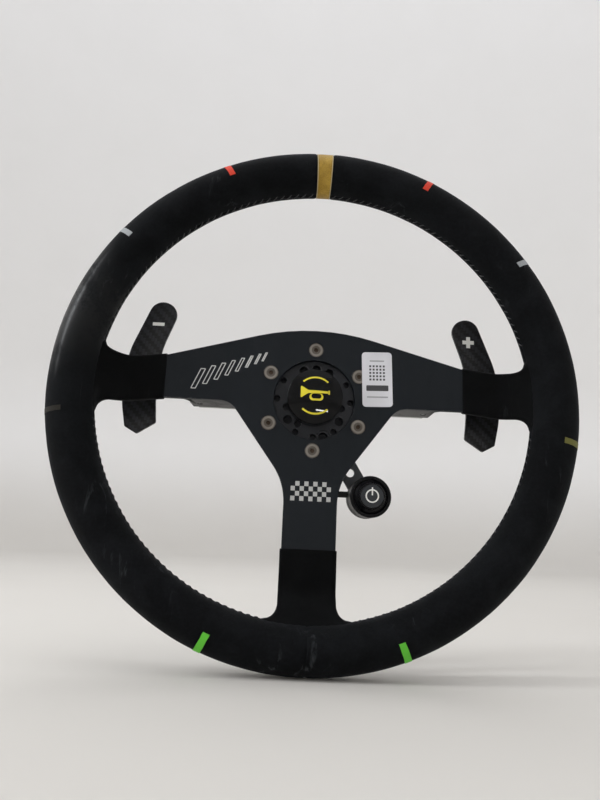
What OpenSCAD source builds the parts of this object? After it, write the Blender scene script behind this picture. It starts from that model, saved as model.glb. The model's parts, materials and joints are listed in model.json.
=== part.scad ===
// Quick release steering wheel: suede rim, flat three-spoke plate, hub, horn, paddles and a button pod.
// The wheel is drawn flat, driver towards +Z and crest towards +Y, and row() stands it up at the end.

/* [Rim] */
// Outer diameter of the rim
wheel_d = 350; // [320:5:380]
// Diameter of the grip section
grip_d = 30.6; // [28:0.2:34]
// Thickness of the suede cover
suede_t = 1.6; // [1:0.1:2.4]
// Diameter of the metal hoop inside the rim
core_d = 10; // [8:0.5:13]
// Width of the centre marker band, in degrees of the rim
band_angle = 3.8; // [2:0.2:6]
// How far the marker band lies below the suede
band_drop = 0.3; // [0.1:0.1:0.6]
// Thickness of the marker tapes
tape_t = 0.25; // [0.1:0.05:0.5]

/* [Spoke plate] */
// Thickness of the plate
plate_t = 4; // [3:0.5:5]
// Distance from the rim's middle plane back to the plate's front face
plate_drop = 13; // [11:0.5:15]
// Diameter of the central opening
opening_d = 55; // [48:1:56]
// Pitch circle of the plate screws
bolt_pcd = 70; // [68:1:74]
// Number of plate screws
bolt_n = 6; // [6:1:6]
// Height of the plate's crown above the axis
crown_h = 49; // [46:1:54]
// Radius of the crown
crown_r = 150; // [130:5:180]
// Height of the side spokes' upper edge above the axis
arm_top = 26.5; // [24:0.5:29]
// Depth of the side spokes' lower edge below the axis
arm_low = 3.4; // [2:0.2:5]
// Width of the bottom spoke
foot_w = 35.4; // [30:0.2:40]
// Distance from the axis to the start of the side wraps
wrap_side = 101.8; // [98:0.2:106]
// Distance from the axis to the start of the bottom wrap
wrap_foot = 99.6; // [96:0.2:104]
// Fall of the side arms under the wraps, for each millimetre outwards
arm_fall = 0.11; // [0:0.01:0.15]
// Thickness of the suede wraps on the spokes
wrap_t = 0.9; // [0.8:0.1:2]

/* [Screws] */
// Thread diameter of the plate and quick release screws
bolt_d = 5; // [4:0.5:5]
// Head diameter of the countersunk plate screws
bolt_head_d = 10; // [9:0.2:10]
// Length of the plate screws
bolt_l = 12; // [10:1:12]
// Thread diameter of the small screws
small_d = 3; // [2.5:0.5:3]

/* [Hub] */
// Diameter of the hub's two flanges
hub_d = 82; // [80:1:84]
// Thickness of each flange
flange_t = 8; // [8:0.5:10]
// Overall length of the hub
hub_l = 31; // [31:1:40]
// Diameter of the waist between the flanges
waist_d = 48; // [46:1:50]
// Diameter of the horn's seat in the hub
seat_d = 32; // [30:1:33]
// Depth of the horn's seat
seat_l = 20; // [20:0.5:22]

/* [Horn] */
// Diameter of the horn button
horn_d = 37; // [36:0.5:38]
// Height of the button's edge above the hub face
horn_edge = 14; // [12:0.5:16]
// Height of the dome above its edge
horn_crown = 4.8; // [3:0.2:6]
// Travel of the horn button
horn_travel = 1.8; // [1:0.1:2]

/* [Shifter] */
// Distance from the axis to each paddle's pivot
pivot_x = 80; // [78:0.5:82]
// Diameter of the pivot pins
pin_d = 4; // [3:0.5:5]
// Length of each housing along the spoke
housing_l = 44; // [42:1:46]
// Height of each housing
housing_h = 32; // [30:1:34]
// Depth of each housing from front to back
housing_w = 26; // [26:0.5:28]
// Height of the lever
lever_h = 19; // [16:0.5:19.5]
// Thickness of the lever
lever_t = 10; // [8:0.5:10]
// Distance from the pivot to the lever's tip
lever_reach = 52; // [48:1:54]
// Thickness of the carbon paddles
paddle_t = 2.5; // [2:0.5:3]
// Thickness of the shifter's mounting plate
carrier_t = 3; // [2:0.5:4]

/* [Quick release] */
// Radius of the round mouth that guides the column boss
mouth_r = 15.7; // [15.6:0.1:16]
// Radius of the bore behind the mouth
bore_r = 15.5; // [15:0.1:15.5]
// Length of the barrel behind its flange
barrel_l = 40; // [40:1:44]
// Outer radius of the barrel
barrel_r = 19; // [18.6:0.2:19.4]
// Thickness of the barrel's flange
qr_flange_t = 7; // [6:0.5:8]
// Outer radius of the sliding collar
collar_r = 26; // [25:0.5:26.5]
// Travel of the collar
collar_travel = 7; // [6:0.5:7]
// Radius of the locking balls
ball_r = 3; // [2.8:0.1:3]
// Radial travel of the balls
ball_travel = 1.65; // [1.5:0.05:1.7]
// Number of locking balls
ball_n = 6; // [6:1:6]

/* [Button pod] */
// Sideways distance from the axis to the pod
pod_x = 39.4; // [38:0.1:42]
// Distance from the axis down to the pod
pod_y = 64; // [62:0.5:67]
// Outer radius of the pod
pod_r = 13.5; // [12.8:0.1:13.8]
// Length of the pod's body
pod_l = 25; // [24:0.5:26]
// Radius of the button's face
face_r = 8.3; // [7.5:0.1:8.6]
// Travel of the pod's button
pod_travel = 1.5; // [1:0.1:1.5]
// Width of the pod's arm
pod_arm_w = 14; // [12:0.5:14]
// Thickness of the pod's arm
pod_arm_t = 3; // [2:0.5:3]
// Diameter of the pod's cable
cable_d = 2.8; // [2.4:0.2:3.6]

/* [Clearances] */
// Radial running clearance of the pins and balls
run_gap = 0.03; // [0.02:0.01:0.08]
// Sliding clearance of buttons and collar
slide_gap = 0.1; // [0.05:0.05:0.15]
// Gap left where a moving piece rests near a fixed one
rest_gap = 0.1; // [0.05:0.05:0.2]

/* [Hidden] */
$fn = 64;
tiny = 0.01;

// Rim
grip_r = grip_d / 2;
rim_r = wheel_d / 2 - grip_r;
foam_r = grip_r - suede_t;
crest = 90;
foot = 270;

// Levels along the axis, front to back
plate_z = -plate_drop;
hub_z = plate_z - plate_t;
flange_z = hub_z - flange_t;
hub_back = hub_z - hub_l;
qr_z = hub_back - carrier_t;
barrel_z = qr_z - qr_flange_t;
mouth_z = barrel_z - barrel_l;

// Spoke arms step forward from the plate into the rim
arm_z = -4;
step_out = rim_r - grip_r - 1;
step_in = step_out - 16;
crown_side = arm_top - crown_h + crown_r;
crown_slope = atan2(wrap_side, crown_side) - acos(crown_r / norm([crown_side, wrap_side]));
crown_peak = crown_h + crown_r * (1 / cos(crown_slope) - 1);
flank_angle = 53.7;
flank_x = 57;
flank_r = 14;
waist_r = 42;
flank_y = -arm_low - (flank_x - foot_w / 2) * tan(flank_angle);

// Label on the right spoke
label_x = 42.7;
label_y = 16.3;
label_turn = 2;
label_w = 20.8;
label_h = 38.6;
label_r = 2.5;
label_t = 0.25;

// Horn
horn_r = horn_d / 2;
horn_z = hub_z + horn_edge;
horn_wall = 2;
dome_r = (horn_r * horn_r + horn_crown * horn_crown) / (2 * horn_crown);
skirt_z = hub_z + horn_travel + 0.7;
body_wall = 1.5;
seat_z = hub_z - seat_l;
guide_r = seat_d / 2 - body_wall - slide_gap;
ring_in = guide_r - 0.6;
ring_z = hub_z - 3.4;
ring_t = 1.4;
lip_t = 2;
guide_z = ring_z - ring_t - rest_gap - lip_t;
roof_z = horn_z - horn_wall;
post_z = roof_z - 7;

// Shifter
housing_x = 90 - housing_l;
housing_y = -2;
housing_z = hub_back + housing_w;
wall = 3;
lever_z = hub_back + 6;
lever_front = lever_z + lever_t;
lever_y = housing_y + wall + 0.5;
lever_mid = lever_y + lever_h / 2;
lever_in = housing_x + 9;
pivot_z = lever_z + lever_t / 2;
magnet_r = 4;
magnet_t = 3;
magnet_x = lever_in + 6;
stop_x = magnet_x + 8;
switch_x = pivot_x - 10;
switch_h = 2.9;
board_t = 1.6;
plunger_r = 1.5;
plunger_gap = 0.15;
plunger_l = 2.3;
screw_row = [for (reach = [36, 48]) pivot_x + reach];

// Quick release
spring_room = 8;
collar_front = barrel_z - collar_travel - 1;
ball_z = barrel_z - 23;
ball_in = bore_r + ball_r - 1.6;
ramp = ball_travel / collar_travel;
ball_lift = (ball_r + 0.05) * norm([1, ramp]);
land_r = ball_in + ball_lift;
groove_r = land_r + ramp * collar_travel;
collar_l = 28.5;
collar_back = collar_front - collar_l;
rear_land = 2.2;
ring_back = collar_back - 0.3;
keeper_t = 1.5;

// Button pod
pod_angle = atan2(-pod_y, pod_x);
pod_far = norm([pod_x, pod_y]);
arm_back = hub_back + flange_t;
arm_screw_x = 29.5;
arm_screw_y = 3.6;
pod_z = arm_back + pod_arm_t;
pod_front = pod_z + pod_l;
pod_wall = 1.45;
bezel_t = 2.2;
bezel_in = 10.9;
pod_floor = 2;
face_z = pod_front + bezel_t + 7.2;
gland_z = pod_z + 8;
gland_l = 7;
gland_y = 2 - pod_y;
gland_r = 2.1;
cable_route = [[19.2, gland_y], [15, gland_y], [6, -60], [0, -52], [-1, -42], [0, -33]];

// Unit vector along v
function unit(v) = v / norm(v);

// Arc that rounds corner b, whose third value is its radius, between neighbours a and c
function corner(a, b, c, steps) =
  let (
    p = [b.x, b.y],
    u = unit([a.x, a.y] - p),
    w = unit([c.x, c.y] - p),
    half = acos(max(-1, min(1, u * w))) / 2,
    o = p + unit(u + w) * b[2] / sin(half),
    s = p + u * b[2] / tan(half) - o,
    e = p + w * b[2] / tan(half) - o,
    a0 = atan2(s.y, s.x),
    turn = atan2(s.x * e.y - s.y * e.x, s * e)
  )
  [for (i = [0 : steps]) o + b[2] * [cos(a0 + turn * i / steps), sin(a0 + turn * i / steps)]];

// Closed outline through corners [x, y, radius]
function rounded(path, steps = 8) = [
  for (i = [0 : len(path) - 1])
    let (n = len(path), b = path[i])
    each (b[2] == 0 ? [[b.x, b.y]] : corner(path[(i + n - 1) % n], b, path[(i + 1) % n], steps))
];

// The same outline mirrored in X, so that a half path closes into a symmetric one
function with_mirror(half) = concat(
  half, [for (i = [len(half) - 1 : -1 : 0]) if (abs(half[i].x) > tiny) [-half[i].x, half[i].y, half[i][2]]]
);

// Point on a smooth curve through a list of points
function along(p, t) =
  let (
    i = min(floor(t), len(p) - 2),
    f = t - i,
    a = p[max(i - 1, 0)],
    b = p[i],
    c = p[i + 1],
    d = p[min(i + 2, len(p) - 1)]
  )
  0.5 * (2 * b + (c - a) * f + (2 * a - 5 * b + 4 * c - d) * f * f + (3 * b - a - 3 * c + d) * f * f * f);

// Faces of a tube of rings, each with the given number of sides
function tube_faces(rings, sides) = concat(
  [[for (j = [0 : sides - 1]) j]],
  [for (i = [0 : rings - 2]) for (j = [0 : sides - 1])
    [i * sides + j, (i + 1) * sides + j, (i + 1) * sides + (j + 1) % sides, i * sides + (j + 1) % sides]],
  [[for (j = [sides - 1 : -1 : 0]) (rings - 1) * sides + j]]
);

// Stands the wheel up: driver towards -Y, crest towards +Z, origin at the quick release mouth
module row() {
  rotate([90, 0, 0]) translate([0, 0, -mouth_z]) children();
}

// Copies at every angle of a bolt circle
module circle_of(n, r, start = 0) {
  for (i = [0 : n - 1]) rotate(start + 360 * i / n) translate([r, 0, 0]) children();
}

// Both sides of the wheel: the right as drawn, the left mirrored
module on_side(s) {
  if (s > 0) children();
  else mirror([1, 0, 0]) children();
}

// Round bar from height a to height b
module bar(r, a, b) {
  translate([0, 0, min(a, b)]) cylinder(r = r, h = abs(b - a));
}

// Round tube from height a to height b
module pipe(r_out, r_in, a, b) {
  difference() {
    bar(r_out, a, b);
    bar(r_in, min(a, b) - tiny, max(a, b) + tiny);
  }
}

// Whole ring of round section on the rim's middle line
module ring(r) {
  rotate_extrude($fn = 180) translate([rim_r, 0]) circle(r = r);
}

// Part of a ring of round section
module hoop(r, from, to) {
  rotate(from) rotate_extrude(angle = to - from, $fn = 180) translate([rim_r, 0]) circle(r = r);
}

// Helical spring standing on Z = 0
module coil(r, wire, turns, length) {
  sides = 6;
  steps = 14 * turns;
  points = [for (i = [0 : steps]) for (j = [0 : sides - 1])
    let (
      a = 360 * i / 14,
      out = r + wire / 2 * cos(360 * j / sides),
      z = wire / 2 + (length - wire) * i / steps + wire / 2 * sin(360 * j / sides)
    ) [out * cos(a), out * sin(a), z]];
  polyhedron(points, tube_faces(steps + 1, sides), convexity = 6);
}

// Side view of a spoke arm from start to the rim, grown by g
module arm_profile(start, end, g) {
  back = hub_z - g;
  front = plate_z + g;
  polygon([
    [start, back], [step_in + g / 2, back], [step_out + g / 2, arm_z - g], [end, arm_z - g],
    [end, arm_z + plate_t + g], [step_out - g / 2, arm_z + plate_t + g],
    [step_in - g / 2, front], [start, front]
  ]);
}

// Spoke arms: a side arm lies along X and falls a little towards the rim, the foot arm is turned down
module side_arm(start, end, g) {
  high = arm_top + g;
  low = -arm_low - g;
  fall = [arm_fall * (start - wrap_side), arm_fall * (end - wrap_side)];
  intersection() {
    translate([0, wheel_d / 2, 0]) rotate([90, 0, 0]) linear_extrude(wheel_d) arm_profile(start, end, g);
    translate([0, 0, -wheel_d / 2]) linear_extrude(wheel_d) polygon([
      [start, low - fall[0]], [end, low - fall[1]], [end, high - fall[1]], [start, high - fall[0]]
    ]);
  }
}

module foot_arm(start, end, g) {
  rotate(-90) translate([0, foot_w / 2 + g, 0]) rotate([90, 0, 0])
    linear_extrude(foot_w + 2 * g) arm_profile(start, end, g);
}

module all_arms() {
  side_arm(wrap_side, rim_r, 0);
  mirror([1, 0, 0]) side_arm(wrap_side, rim_r, 0);
  foot_arm(wrap_foot, rim_r, 0);
}

module rim_core() {
  color("dimgray") ring(core_d / 2);
}

module rim_foam() {
  color("gray") difference() {
    ring(foam_r);
    ring(core_d / 2);
    all_arms();
  }
}

// Suede cover of one half of the rim, with slots where the arms come in
module suede_half(from, to) {
  color([0.06, 0.065, 0.07]) difference() {
    hoop(grip_r, from, to);
    ring(foam_r);
    all_arms();
  }
}

module suede_left() {
  suede_half(crest + band_angle / 2, foot);
}

module suede_right() {
  suede_half(foot - 360, crest - band_angle / 2);
}

module marker_band() {
  color([0.66, 0.53, 0.22]) difference() {
    hoop(grip_r - band_drop, crest - band_angle / 2, crest + band_angle / 2);
    ring(foam_r);
  }
}

// A strip of tape over the front of the grip: a short arc of the ring, from one section angle to another
module tape(at, width, from, to) {
  reach = 2 * grip_r;
  rotate(at - width / 2) rotate_extrude(angle = width, $fn = 180) translate([rim_r, 0]) intersection() {
    difference() {
      circle(r = grip_r + tape_t);
      circle(r = grip_r);
    }
    polygon([[0, 0], reach * [cos(from), sin(from)], reach * [cos((from + to) / 2), sin((from + to) / 2)],
      reach * [cos(to), sin(to)]]);
  }
}

module grip_tapes() {
  color("tomato") for (at = [64.3, 113.3]) tape(at, 1.4, 10, 85);
  color("silver") for (at = [35.1, 142]) tape(at, 1.3, 10, 80);
  color("darkkhaki") for (at = [-8.8, -173.2]) tape(at, 1.3, 10, 85);
  color("lightgreen") for (at = [-111.9, -69.3]) tape(at, 1.5, 10, 85);
}

// What a wrap is trimmed by where it meets the rim: the grip and all that lies outside it
module rim_trim() {
  ring(grip_r);
  pipe(wheel_d, rim_r - grip_r / 2, -grip_d, grip_d);
}

module side_wrap() {
  color([0.05, 0.055, 0.06]) difference() {
    side_arm(wrap_side, rim_r, wrap_t);
    side_arm(wrap_side - 1, rim_r + 1, 0);
    rim_trim();
  }
}

module wrap_left() {
  mirror([1, 0, 0]) side_wrap();
}

module wrap_right() {
  side_wrap();
}

module wrap_foot_spoke() {
  color([0.05, 0.055, 0.06]) difference() {
    foot_arm(wrap_foot, rim_r, wrap_t);
    foot_arm(wrap_foot - 1, rim_r + 1, 0);
    rim_trim();
  }
}

// Countersunk socket screw with its head's top at Z = 0
module sunk_screw(d, head_d, length) {
  difference() {
    rotate_extrude() polygon([
      [0, 0], [head_d / 2, 0], [head_d / 2, -0.4], [d / 2, -0.4 - (head_d - d) / 2],
      [d / 2, -length], [0, -length]
    ]);
    translate([0, 0, -0.45 * d]) cylinder(d = 0.68 * d, h = d, $fn = 6);
  }
}

// Socket cap screw with its head's underside at Z = 0
module cap_screw(d, length) {
  difference() {
    union() {
      bar(d / 2, -length, 0);
      bar(0.85 * d, 0, d);
    }
    translate([0, 0, 0.5 * d]) cylinder(d = 0.92 * d, h = d, $fn = 6);
  }
}

module spoke_plate() {
  outline = with_mirror([
    [0, crown_peak, crown_r], [wrap_side, arm_top, 0], [wrap_side, -arm_low, 0],
    [flank_x, -arm_low, flank_r], [foot_w / 2, flank_y, waist_r], [foot_w / 2, -wrap_foot, 0]
  ]);
  color([0.14, 0.155, 0.175]) difference() {
    union() {
      translate([0, 0, hub_z]) linear_extrude(plate_t) polygon(rounded(outline));
      all_arms();
    }
    bar(opening_d / 2, hub_z - 1, plate_z + 1);
    circle_of(bolt_n, bolt_pcd / 2, crest) {
      bar(bolt_d / 2, hub_z - 1, plate_z + 1);
      translate([0, 0, plate_z - 0.05]) rotate_extrude() polygon([
        [0, 1], [bolt_head_d / 2, 1], [bolt_head_d / 2, -0.4], [0, -0.4 - bolt_head_d / 2]
      ]);
    }
    ring(core_d / 2);
  }
}

module plate_screws() {
  color([0.45, 0.42, 0.39]) circle_of(bolt_n, bolt_pcd / 2, crest)
    translate([0, 0, plate_z - 0.05]) sunk_screw(bolt_d, bolt_head_d, bolt_l);
}

module plate_label() {
  w = label_w / 2;
  h = label_h / 2;
  color("whitesmoke") translate([label_x, label_y, plate_z]) rotate(label_turn) linear_extrude(label_t)
    polygon(rounded([[-w, -h, label_r], [w, -h, label_r], [w, h, label_r], [-w, h, label_r]]));
}

// Blind holes in the hub's front face, at some angles on one circle
module face_holes(angles, reach, r, depth) {
  for (a = angles) rotate(a) translate([reach, 0, 0]) bar(r, hub_z - depth, hub_z + 1);
}

// Hub: a spool with the horn's seat in front and a ring of lightening holes around it
module hub() {
  color([0.09, 0.095, 0.1]) difference() {
    union() {
      bar(hub_d / 2, hub_z, flange_z);
      bar(waist_d / 2, flange_z, hub_back + flange_t);
      bar(hub_d / 2, hub_back, hub_back + flange_t);
    }
    bar(seat_d / 2, seat_z, hub_z + 1);
    bar(6, hub_back - 1, seat_z + 1);
    circle_of(bolt_n, bolt_pcd / 2, crest) bar(bolt_d / 2, flange_z - 1, hub_z + 1);
    circle_of(bolt_n, bolt_pcd / 2, crest + 30) bar(bolt_d / 2, hub_back - 1, arm_back + 1);
    face_holes(angles = [29, -1, -56, -90, -118, 179, 148], reach = 25.2, r = 2.1, depth = 5);
    face_holes(angles = [110, 87, 64, -38, 219], reach = 22.2, r = 3, depth = 6);
    face_holes(angles = [-14, 196, 238], reach = 19.4, r = 2.4, depth = 4);
    face_holes(angles = [-74], reach = 26, r = 3.2, depth = 6);
    face_holes(angles = [-74], reach = 26, r = 4.8, depth = 0.8);
    arm_holes() bar(small_d / 2, arm_back - 5, arm_back + 1);
    rotate(foot) translate([0, 0, gland_z]) rotate([0, 90, 0]) cylinder(d = cable_d, h = waist_d);
  }
}

// Cup that holds the horn's spring and contact
module horn_body() {
  r = seat_d / 2;
  color("black") difference() {
    bar(r, seat_z, hub_z - 0.2);
    bar(r - body_wall, seat_z + 2, hub_z);
    bar(r - body_wall + 0.7, ring_z - ring_t, ring_z);
  }
}

module horn_snap_ring() {
  color("silver") difference() {
    pipe(seat_d / 2 - body_wall + 0.7, ring_in + slide_gap, ring_z - ring_t, ring_z);
    rotate(45) translate([0, -1.5, ring_z - 5]) cube([30, 3, 10]);
  }
}

// Horn button: dome, skirt and a guide tube with a lip that the snap ring holds
module horn_cap() {
  color([0.01, 0.01, 0.012]) difference() {
    union() {
      intersection() {
        bar(horn_r, skirt_z, horn_z + horn_crown + 1);
        translate([0, 0, horn_z + horn_crown - dome_r]) sphere(r = dome_r, $fn = 128);
      }
      bar(ring_in, guide_z, roof_z);
      bar(guide_r, guide_z, guide_z + lip_t);
    }
    pipe(horn_r - horn_wall, ring_in, skirt_z - 1, roof_z);
    bar(ring_in - 2, guide_z - 1, roof_z);
  }
}

module cap_contact() {
  color("goldenrod") {
    bar(5, roof_z - 1.2, roof_z);
    bar(2, post_z + horn_travel + rest_gap, roof_z - 1.2);
  }
}

module horn_contact() {
  color("goldenrod") {
    bar(6, seat_z + 2, seat_z + 3);
    bar(2.5, seat_z + 3, post_z);
  }
}

module horn_spring() {
  color("silver") translate([0, 0, seat_z + 2]) coil(9, 1.2, 6, roof_z - seat_z - 2);
}

// Mounting plate of the shifter, clamped between the hub and the quick release
module shifter_carrier() {
  reach = 86;
  low = housing_y;
  high = housing_y + housing_h;
  color([0.62, 0.62, 0.6]) translate([0, 0, qr_z]) difference() {
    linear_extrude(carrier_t) difference() {
      union() {
        circle(d = hub_d, $fn = 128);
        polygon([
          [-reach, low + 4], [-reach + 4, low], [reach - 4, low], [reach, low + 4],
          [reach, high], [-reach, high]
        ]);
      }
      circle(r = 6);
    }
    circle_of(bolt_n, bolt_pcd / 2, crest + 30) bar(bolt_d / 2, -1, carrier_t + 1);
    for (s = [-1, 1]) on_side(s) housing_holes() bar(small_d / 2, -1, carrier_t + 1);
  }
}

// Places of the screws that hold each housing to the mounting plate
module housing_holes() {
  translate([housing_x + 3.5, housing_y + 5.5, 0]) children();
  translate([housing_x + 3.5, housing_y + housing_h - 5, 0]) children();
  translate([housing_x + housing_l - 5, housing_y + housing_h - 4.5, 0]) children();
}

// Housing of one paddle, open towards the paddle and closed behind by the mounting plate
module housing() {
  cavity_h = lever_h + 1;
  corner_cut = 6;
  color([0.07, 0.07, 0.075]) difference() {
    union() {
      difference() {
        translate([housing_x, housing_y, hub_back]) cube([housing_l, housing_h, housing_w]);
        translate([housing_x + 7, lever_y - 0.5, hub_back - 1]) cube([housing_l, cavity_h, housing_w - 2]);
        translate([housing_x + housing_l, housing_y, hub_back - 1]) rotate(45)
          cube([corner_cut, corner_cut, 2 * housing_w], center = true);
      }
      translate([magnet_x, lever_mid, 0]) bar(magnet_r + 2, lever_front + magnet_t + 0.6, housing_z - 1);
    }
    translate([magnet_x, lever_mid, 0]) bar(magnet_r, lever_front - 1, lever_front + magnet_t + 3);
    translate([stop_x, lever_mid, 0]) bar(2, lever_front, housing_z + 1);
    translate([pivot_x, housing_y - 1, pivot_z]) rotate([-90, 0, 0]) cylinder(d = pin_d, h = housing_h + 2);
    housing_holes() bar(small_d / 2, hub_back - 1, hub_back + 8);
  }
}

module housing_right() {
  housing();
}

module housing_left() {
  mirror([1, 0, 0]) housing();
}

module housing_screws() {
  color("dimgray") for (s = [-1, 1]) on_side(s) housing_holes()
    translate([0, 0, qr_z]) mirror([0, 0, 1]) cap_screw(small_d, 10);
}

module pivot_pins() {
  color("silver") for (s = [-1, 1]) on_side(s)
    translate([pivot_x, housing_y + 0.5, pivot_z]) rotate([-90, 0, 0])
      cylinder(d = pin_d, h = housing_h - 1);
}

module housing_magnets() {
  color("lightgray") for (s = [-1, 1]) on_side(s)
    translate([magnet_x, lever_mid, 0]) bar(magnet_r, lever_front + 0.6, lever_front + magnet_t + 3);
}

module stop_screws() {
  color("dimgray") for (s = [-1, 1]) on_side(s) translate([stop_x, lever_mid, 0]) difference() {
    bar(2, lever_front + rest_gap / 2, housing_z);
    translate([0, 0, housing_z - 2]) cylinder(d = 2.3, h = 3, $fn = 6);
  }
}

module switch_boards() {
  color("darkgreen") for (s = [-1, 1]) on_side(s)
    translate([switch_x - 6, lever_mid - 7, hub_back]) cube([12, 14, board_t]);
}

module shift_switches() {
  color("black") for (s = [-1, 1]) on_side(s) difference() {
    translate([switch_x - 3, lever_mid - 3, hub_back + board_t]) cube([6, 6, switch_h]);
    translate([switch_x, lever_mid, 0]) bar(plunger_r + slide_gap, hub_back + board_t + 0.4, lever_z);
  }
}

module plunger() {
  top = lever_z - plunger_gap;
  color("tan") translate([switch_x, lever_mid, 0]) bar(plunger_r, top - plunger_l, top);
}

module plunger_right() {
  plunger();
}

module plunger_left() {
  mirror([1, 0, 0]) plunger();
}

// Lever that carries a paddle: a block on the pivot pin with a tongue towards the rim
module lever() {
  tip = pivot_x + lever_reach;
  slim = 3;
  color([0.3, 0.3, 0.31]) difference() {
    union() {
      translate([lever_in, lever_y, lever_z]) cube([pivot_x + 12 - lever_in, lever_h, lever_t]);
      translate([pivot_x, lever_y + slim, lever_z])
        linear_extrude(lever_t / 2) polygon(rounded([
          [0, 0, 0], [lever_reach, 0, 3], [lever_reach, lever_h - 2 * slim, 3], [0, lever_h - 2 * slim, 0]
        ]));
    }
    translate([pivot_x, lever_y - 1, pivot_z]) rotate([-90, 0, 0])
      cylinder(r = pin_d / 2 + run_gap, h = lever_h + 2);
    translate([magnet_x, lever_mid, 0]) bar(magnet_r, lever_front - magnet_t, lever_front + 1);
    for (x = screw_row) translate([x, lever_mid, 0]) bar(small_d / 2, lever_z - 1, lever_z + lever_t);
  }
}

module lever_right() {
  lever();
}

module lever_left() {
  mirror([1, 0, 0]) lever();
}

module lever_magnet() {
  color("lightgray") translate([magnet_x, lever_mid, 0]) bar(magnet_r, lever_front - magnet_t, lever_front);
}

module lever_magnet_right() {
  lever_magnet();
}

module lever_magnet_left() {
  mirror([1, 0, 0]) lever_magnet();
}

// Carbon paddle: a rounded finger above and a blunt point below; lower sets it down on its lever
module paddle(lower = 0) {
  shift = pivot_x - 80;
  outline = rounded([
    [99.9, 70.6, 9.8], [111.9, 36.8, 60], [112.6, 0, 40], [111.2, -16.2, 2], [124.2, -24.8, 2],
    [133.2, -19.8, 2], [137.2, 0, 60], [135.3, 35, 60], [118.8, 77.3, 9.8]
  ]);
  color([0.1, 0.1, 0.11]) difference() {
    translate([shift, -lower, lever_z - paddle_t]) linear_extrude(paddle_t) polygon(outline);
    for (x = screw_row) translate([x, lever_mid, 0]) bar(small_d / 2, lever_z - paddle_t - 1, lever_z + 1);
  }
}

module paddle_right() {
  paddle(lower = 1.5);
}

module paddle_left() {
  mirror([1, 0, 0]) paddle();
}

module paddle_screws() {
  color("dimgray") for (x = screw_row) translate([x, lever_mid, lever_z - paddle_t])
    mirror([0, 0, 1]) cap_screw(small_d, 7);
}

module paddle_screws_right() {
  paddle_screws();
}

module paddle_screws_left() {
  mirror([1, 0, 0]) paddle_screws();
}

// Cut that seats a locking ball: a round pocket with a straight way outwards
module ball_cut(a) {
  rotate(a) translate([ball_in, 0, ball_z]) {
    sphere(r = ball_r + run_gap);
    rotate([0, 90, 0]) cylinder(r = ball_r + run_gap, h = barrel_r);
  }
}

// Female quick release: flange, barrel, guiding mouth, splines and ball pockets
module qr_body() {
  mouth_l = 12.5;
  splines = 12;
  color([0.55, 0.56, 0.58]) difference() {
    union() {
      bar(hub_d / 2, barrel_z, qr_z);
      bar(barrel_r, mouth_z, barrel_z);
    }
    bar(mouth_r, mouth_z - 1, mouth_z + mouth_l);
    bar(bore_r, mouth_z, barrel_z + 1);
    bar(6, barrel_z, qr_z + 1);
    circle_of(splines, bore_r) bar(1.4, ball_z + 7, barrel_z + 1);
    for (i = [0 : ball_n - 1]) ball_cut(30 + 360 * i / ball_n);
    circle_of(bolt_n, bolt_pcd / 2, crest + 30) bar(bolt_d / 2, barrel_z - 1, qr_z + 1);
    pipe(barrel_r + 1, barrel_r - 0.8, ring_back - keeper_t, ring_back);
  }
}

module qr_screws() {
  color("dimgray") circle_of(bolt_n, bolt_pcd / 2, crest + 30)
    translate([0, 0, barrel_z]) mirror([0, 0, 1]) cap_screw(bolt_d, qr_flange_t + carrier_t + 6);
}

// Sliding collar: pulled towards the driver, its ramp lets the balls move outwards
module qr_collar() {
  lip = 3;
  grip_cuts = 24;
  pocket_z = collar_front - spring_room;
  lock_z = ball_z + ball_r + 0.5;
  groove_z = ball_z - collar_travel;
  color([0.12, 0.12, 0.13]) difference() {
    rotate_extrude($fn = 128) polygon([
      [barrel_r + slide_gap, pocket_z], [barrel_r + slide_gap, lock_z], [land_r, lock_z], [land_r, ball_z],
      [groove_r, groove_z], [groove_r, collar_back + rear_land],
      [barrel_r + slide_gap, collar_back + rear_land],
      [barrel_r + slide_gap, collar_back], [collar_r - 1, collar_back], [collar_r, collar_back + 1],
      [collar_r, collar_front - 5], [collar_r + lip, collar_front - 4], [collar_r + lip, collar_front],
      [barrel_r + 3.6, collar_front], [barrel_r + 3.6, pocket_z]
    ]);
    circle_of(grip_cuts, collar_r + 1) bar(1.6, collar_back + 3, collar_front - 7);
  }
}

module qr_spring() {
  color("silver") translate([0, 0, collar_front - spring_room])
    coil(barrel_r + 1.8, 2, 4, barrel_z - collar_front + spring_room);
}

module qr_retaining_ring() {
  color("silver") difference() {
    pipe(barrel_r + 1.5, barrel_r - 0.8, ring_back - keeper_t, ring_back);
    rotate(crest) translate([0, -2, ring_back - 5]) cube([30, 4, 10]);
  }
}

module ball(i) {
  color("silver") rotate(30 + 360 * (i - 1) / ball_n) translate([ball_in, 0, ball_z]) sphere(r = ball_r);
}

// Places of the two screws that hold the pod's arm to the hub
module arm_holes() {
  for (s = [-1, 1]) rotate(pod_angle) translate([arm_screw_x, s * arm_screw_y, 0]) children();
}

// Pod arm: a flat bar from the hub's rear flange to the pod
module pod_arm() {
  w = pod_arm_w / 2;
  spare_hole_x = pod_far - 21;
  color([0.2, 0.21, 0.23]) difference() {
    rotate(pod_angle) translate([0, 0, arm_back]) linear_extrude(pod_arm_t) polygon(rounded([
      [waist_d / 2 + 1, -w, 0], [pod_far + w, -w, w - 0.1],
      [pod_far + w, w, w - 0.1], [waist_d / 2 + 1, w, 0]
    ]));
    arm_holes() bar(small_d / 2, arm_back - 1, pod_z + 1);
    rotate(pod_angle) translate([spare_hole_x, 0, 0]) bar(3, arm_back - 1, pod_z + 1);
    rotate(pod_angle) translate([pod_far, 0, 0]) bar(2, arm_back - 1, pod_z + 1);
  }
}

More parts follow.
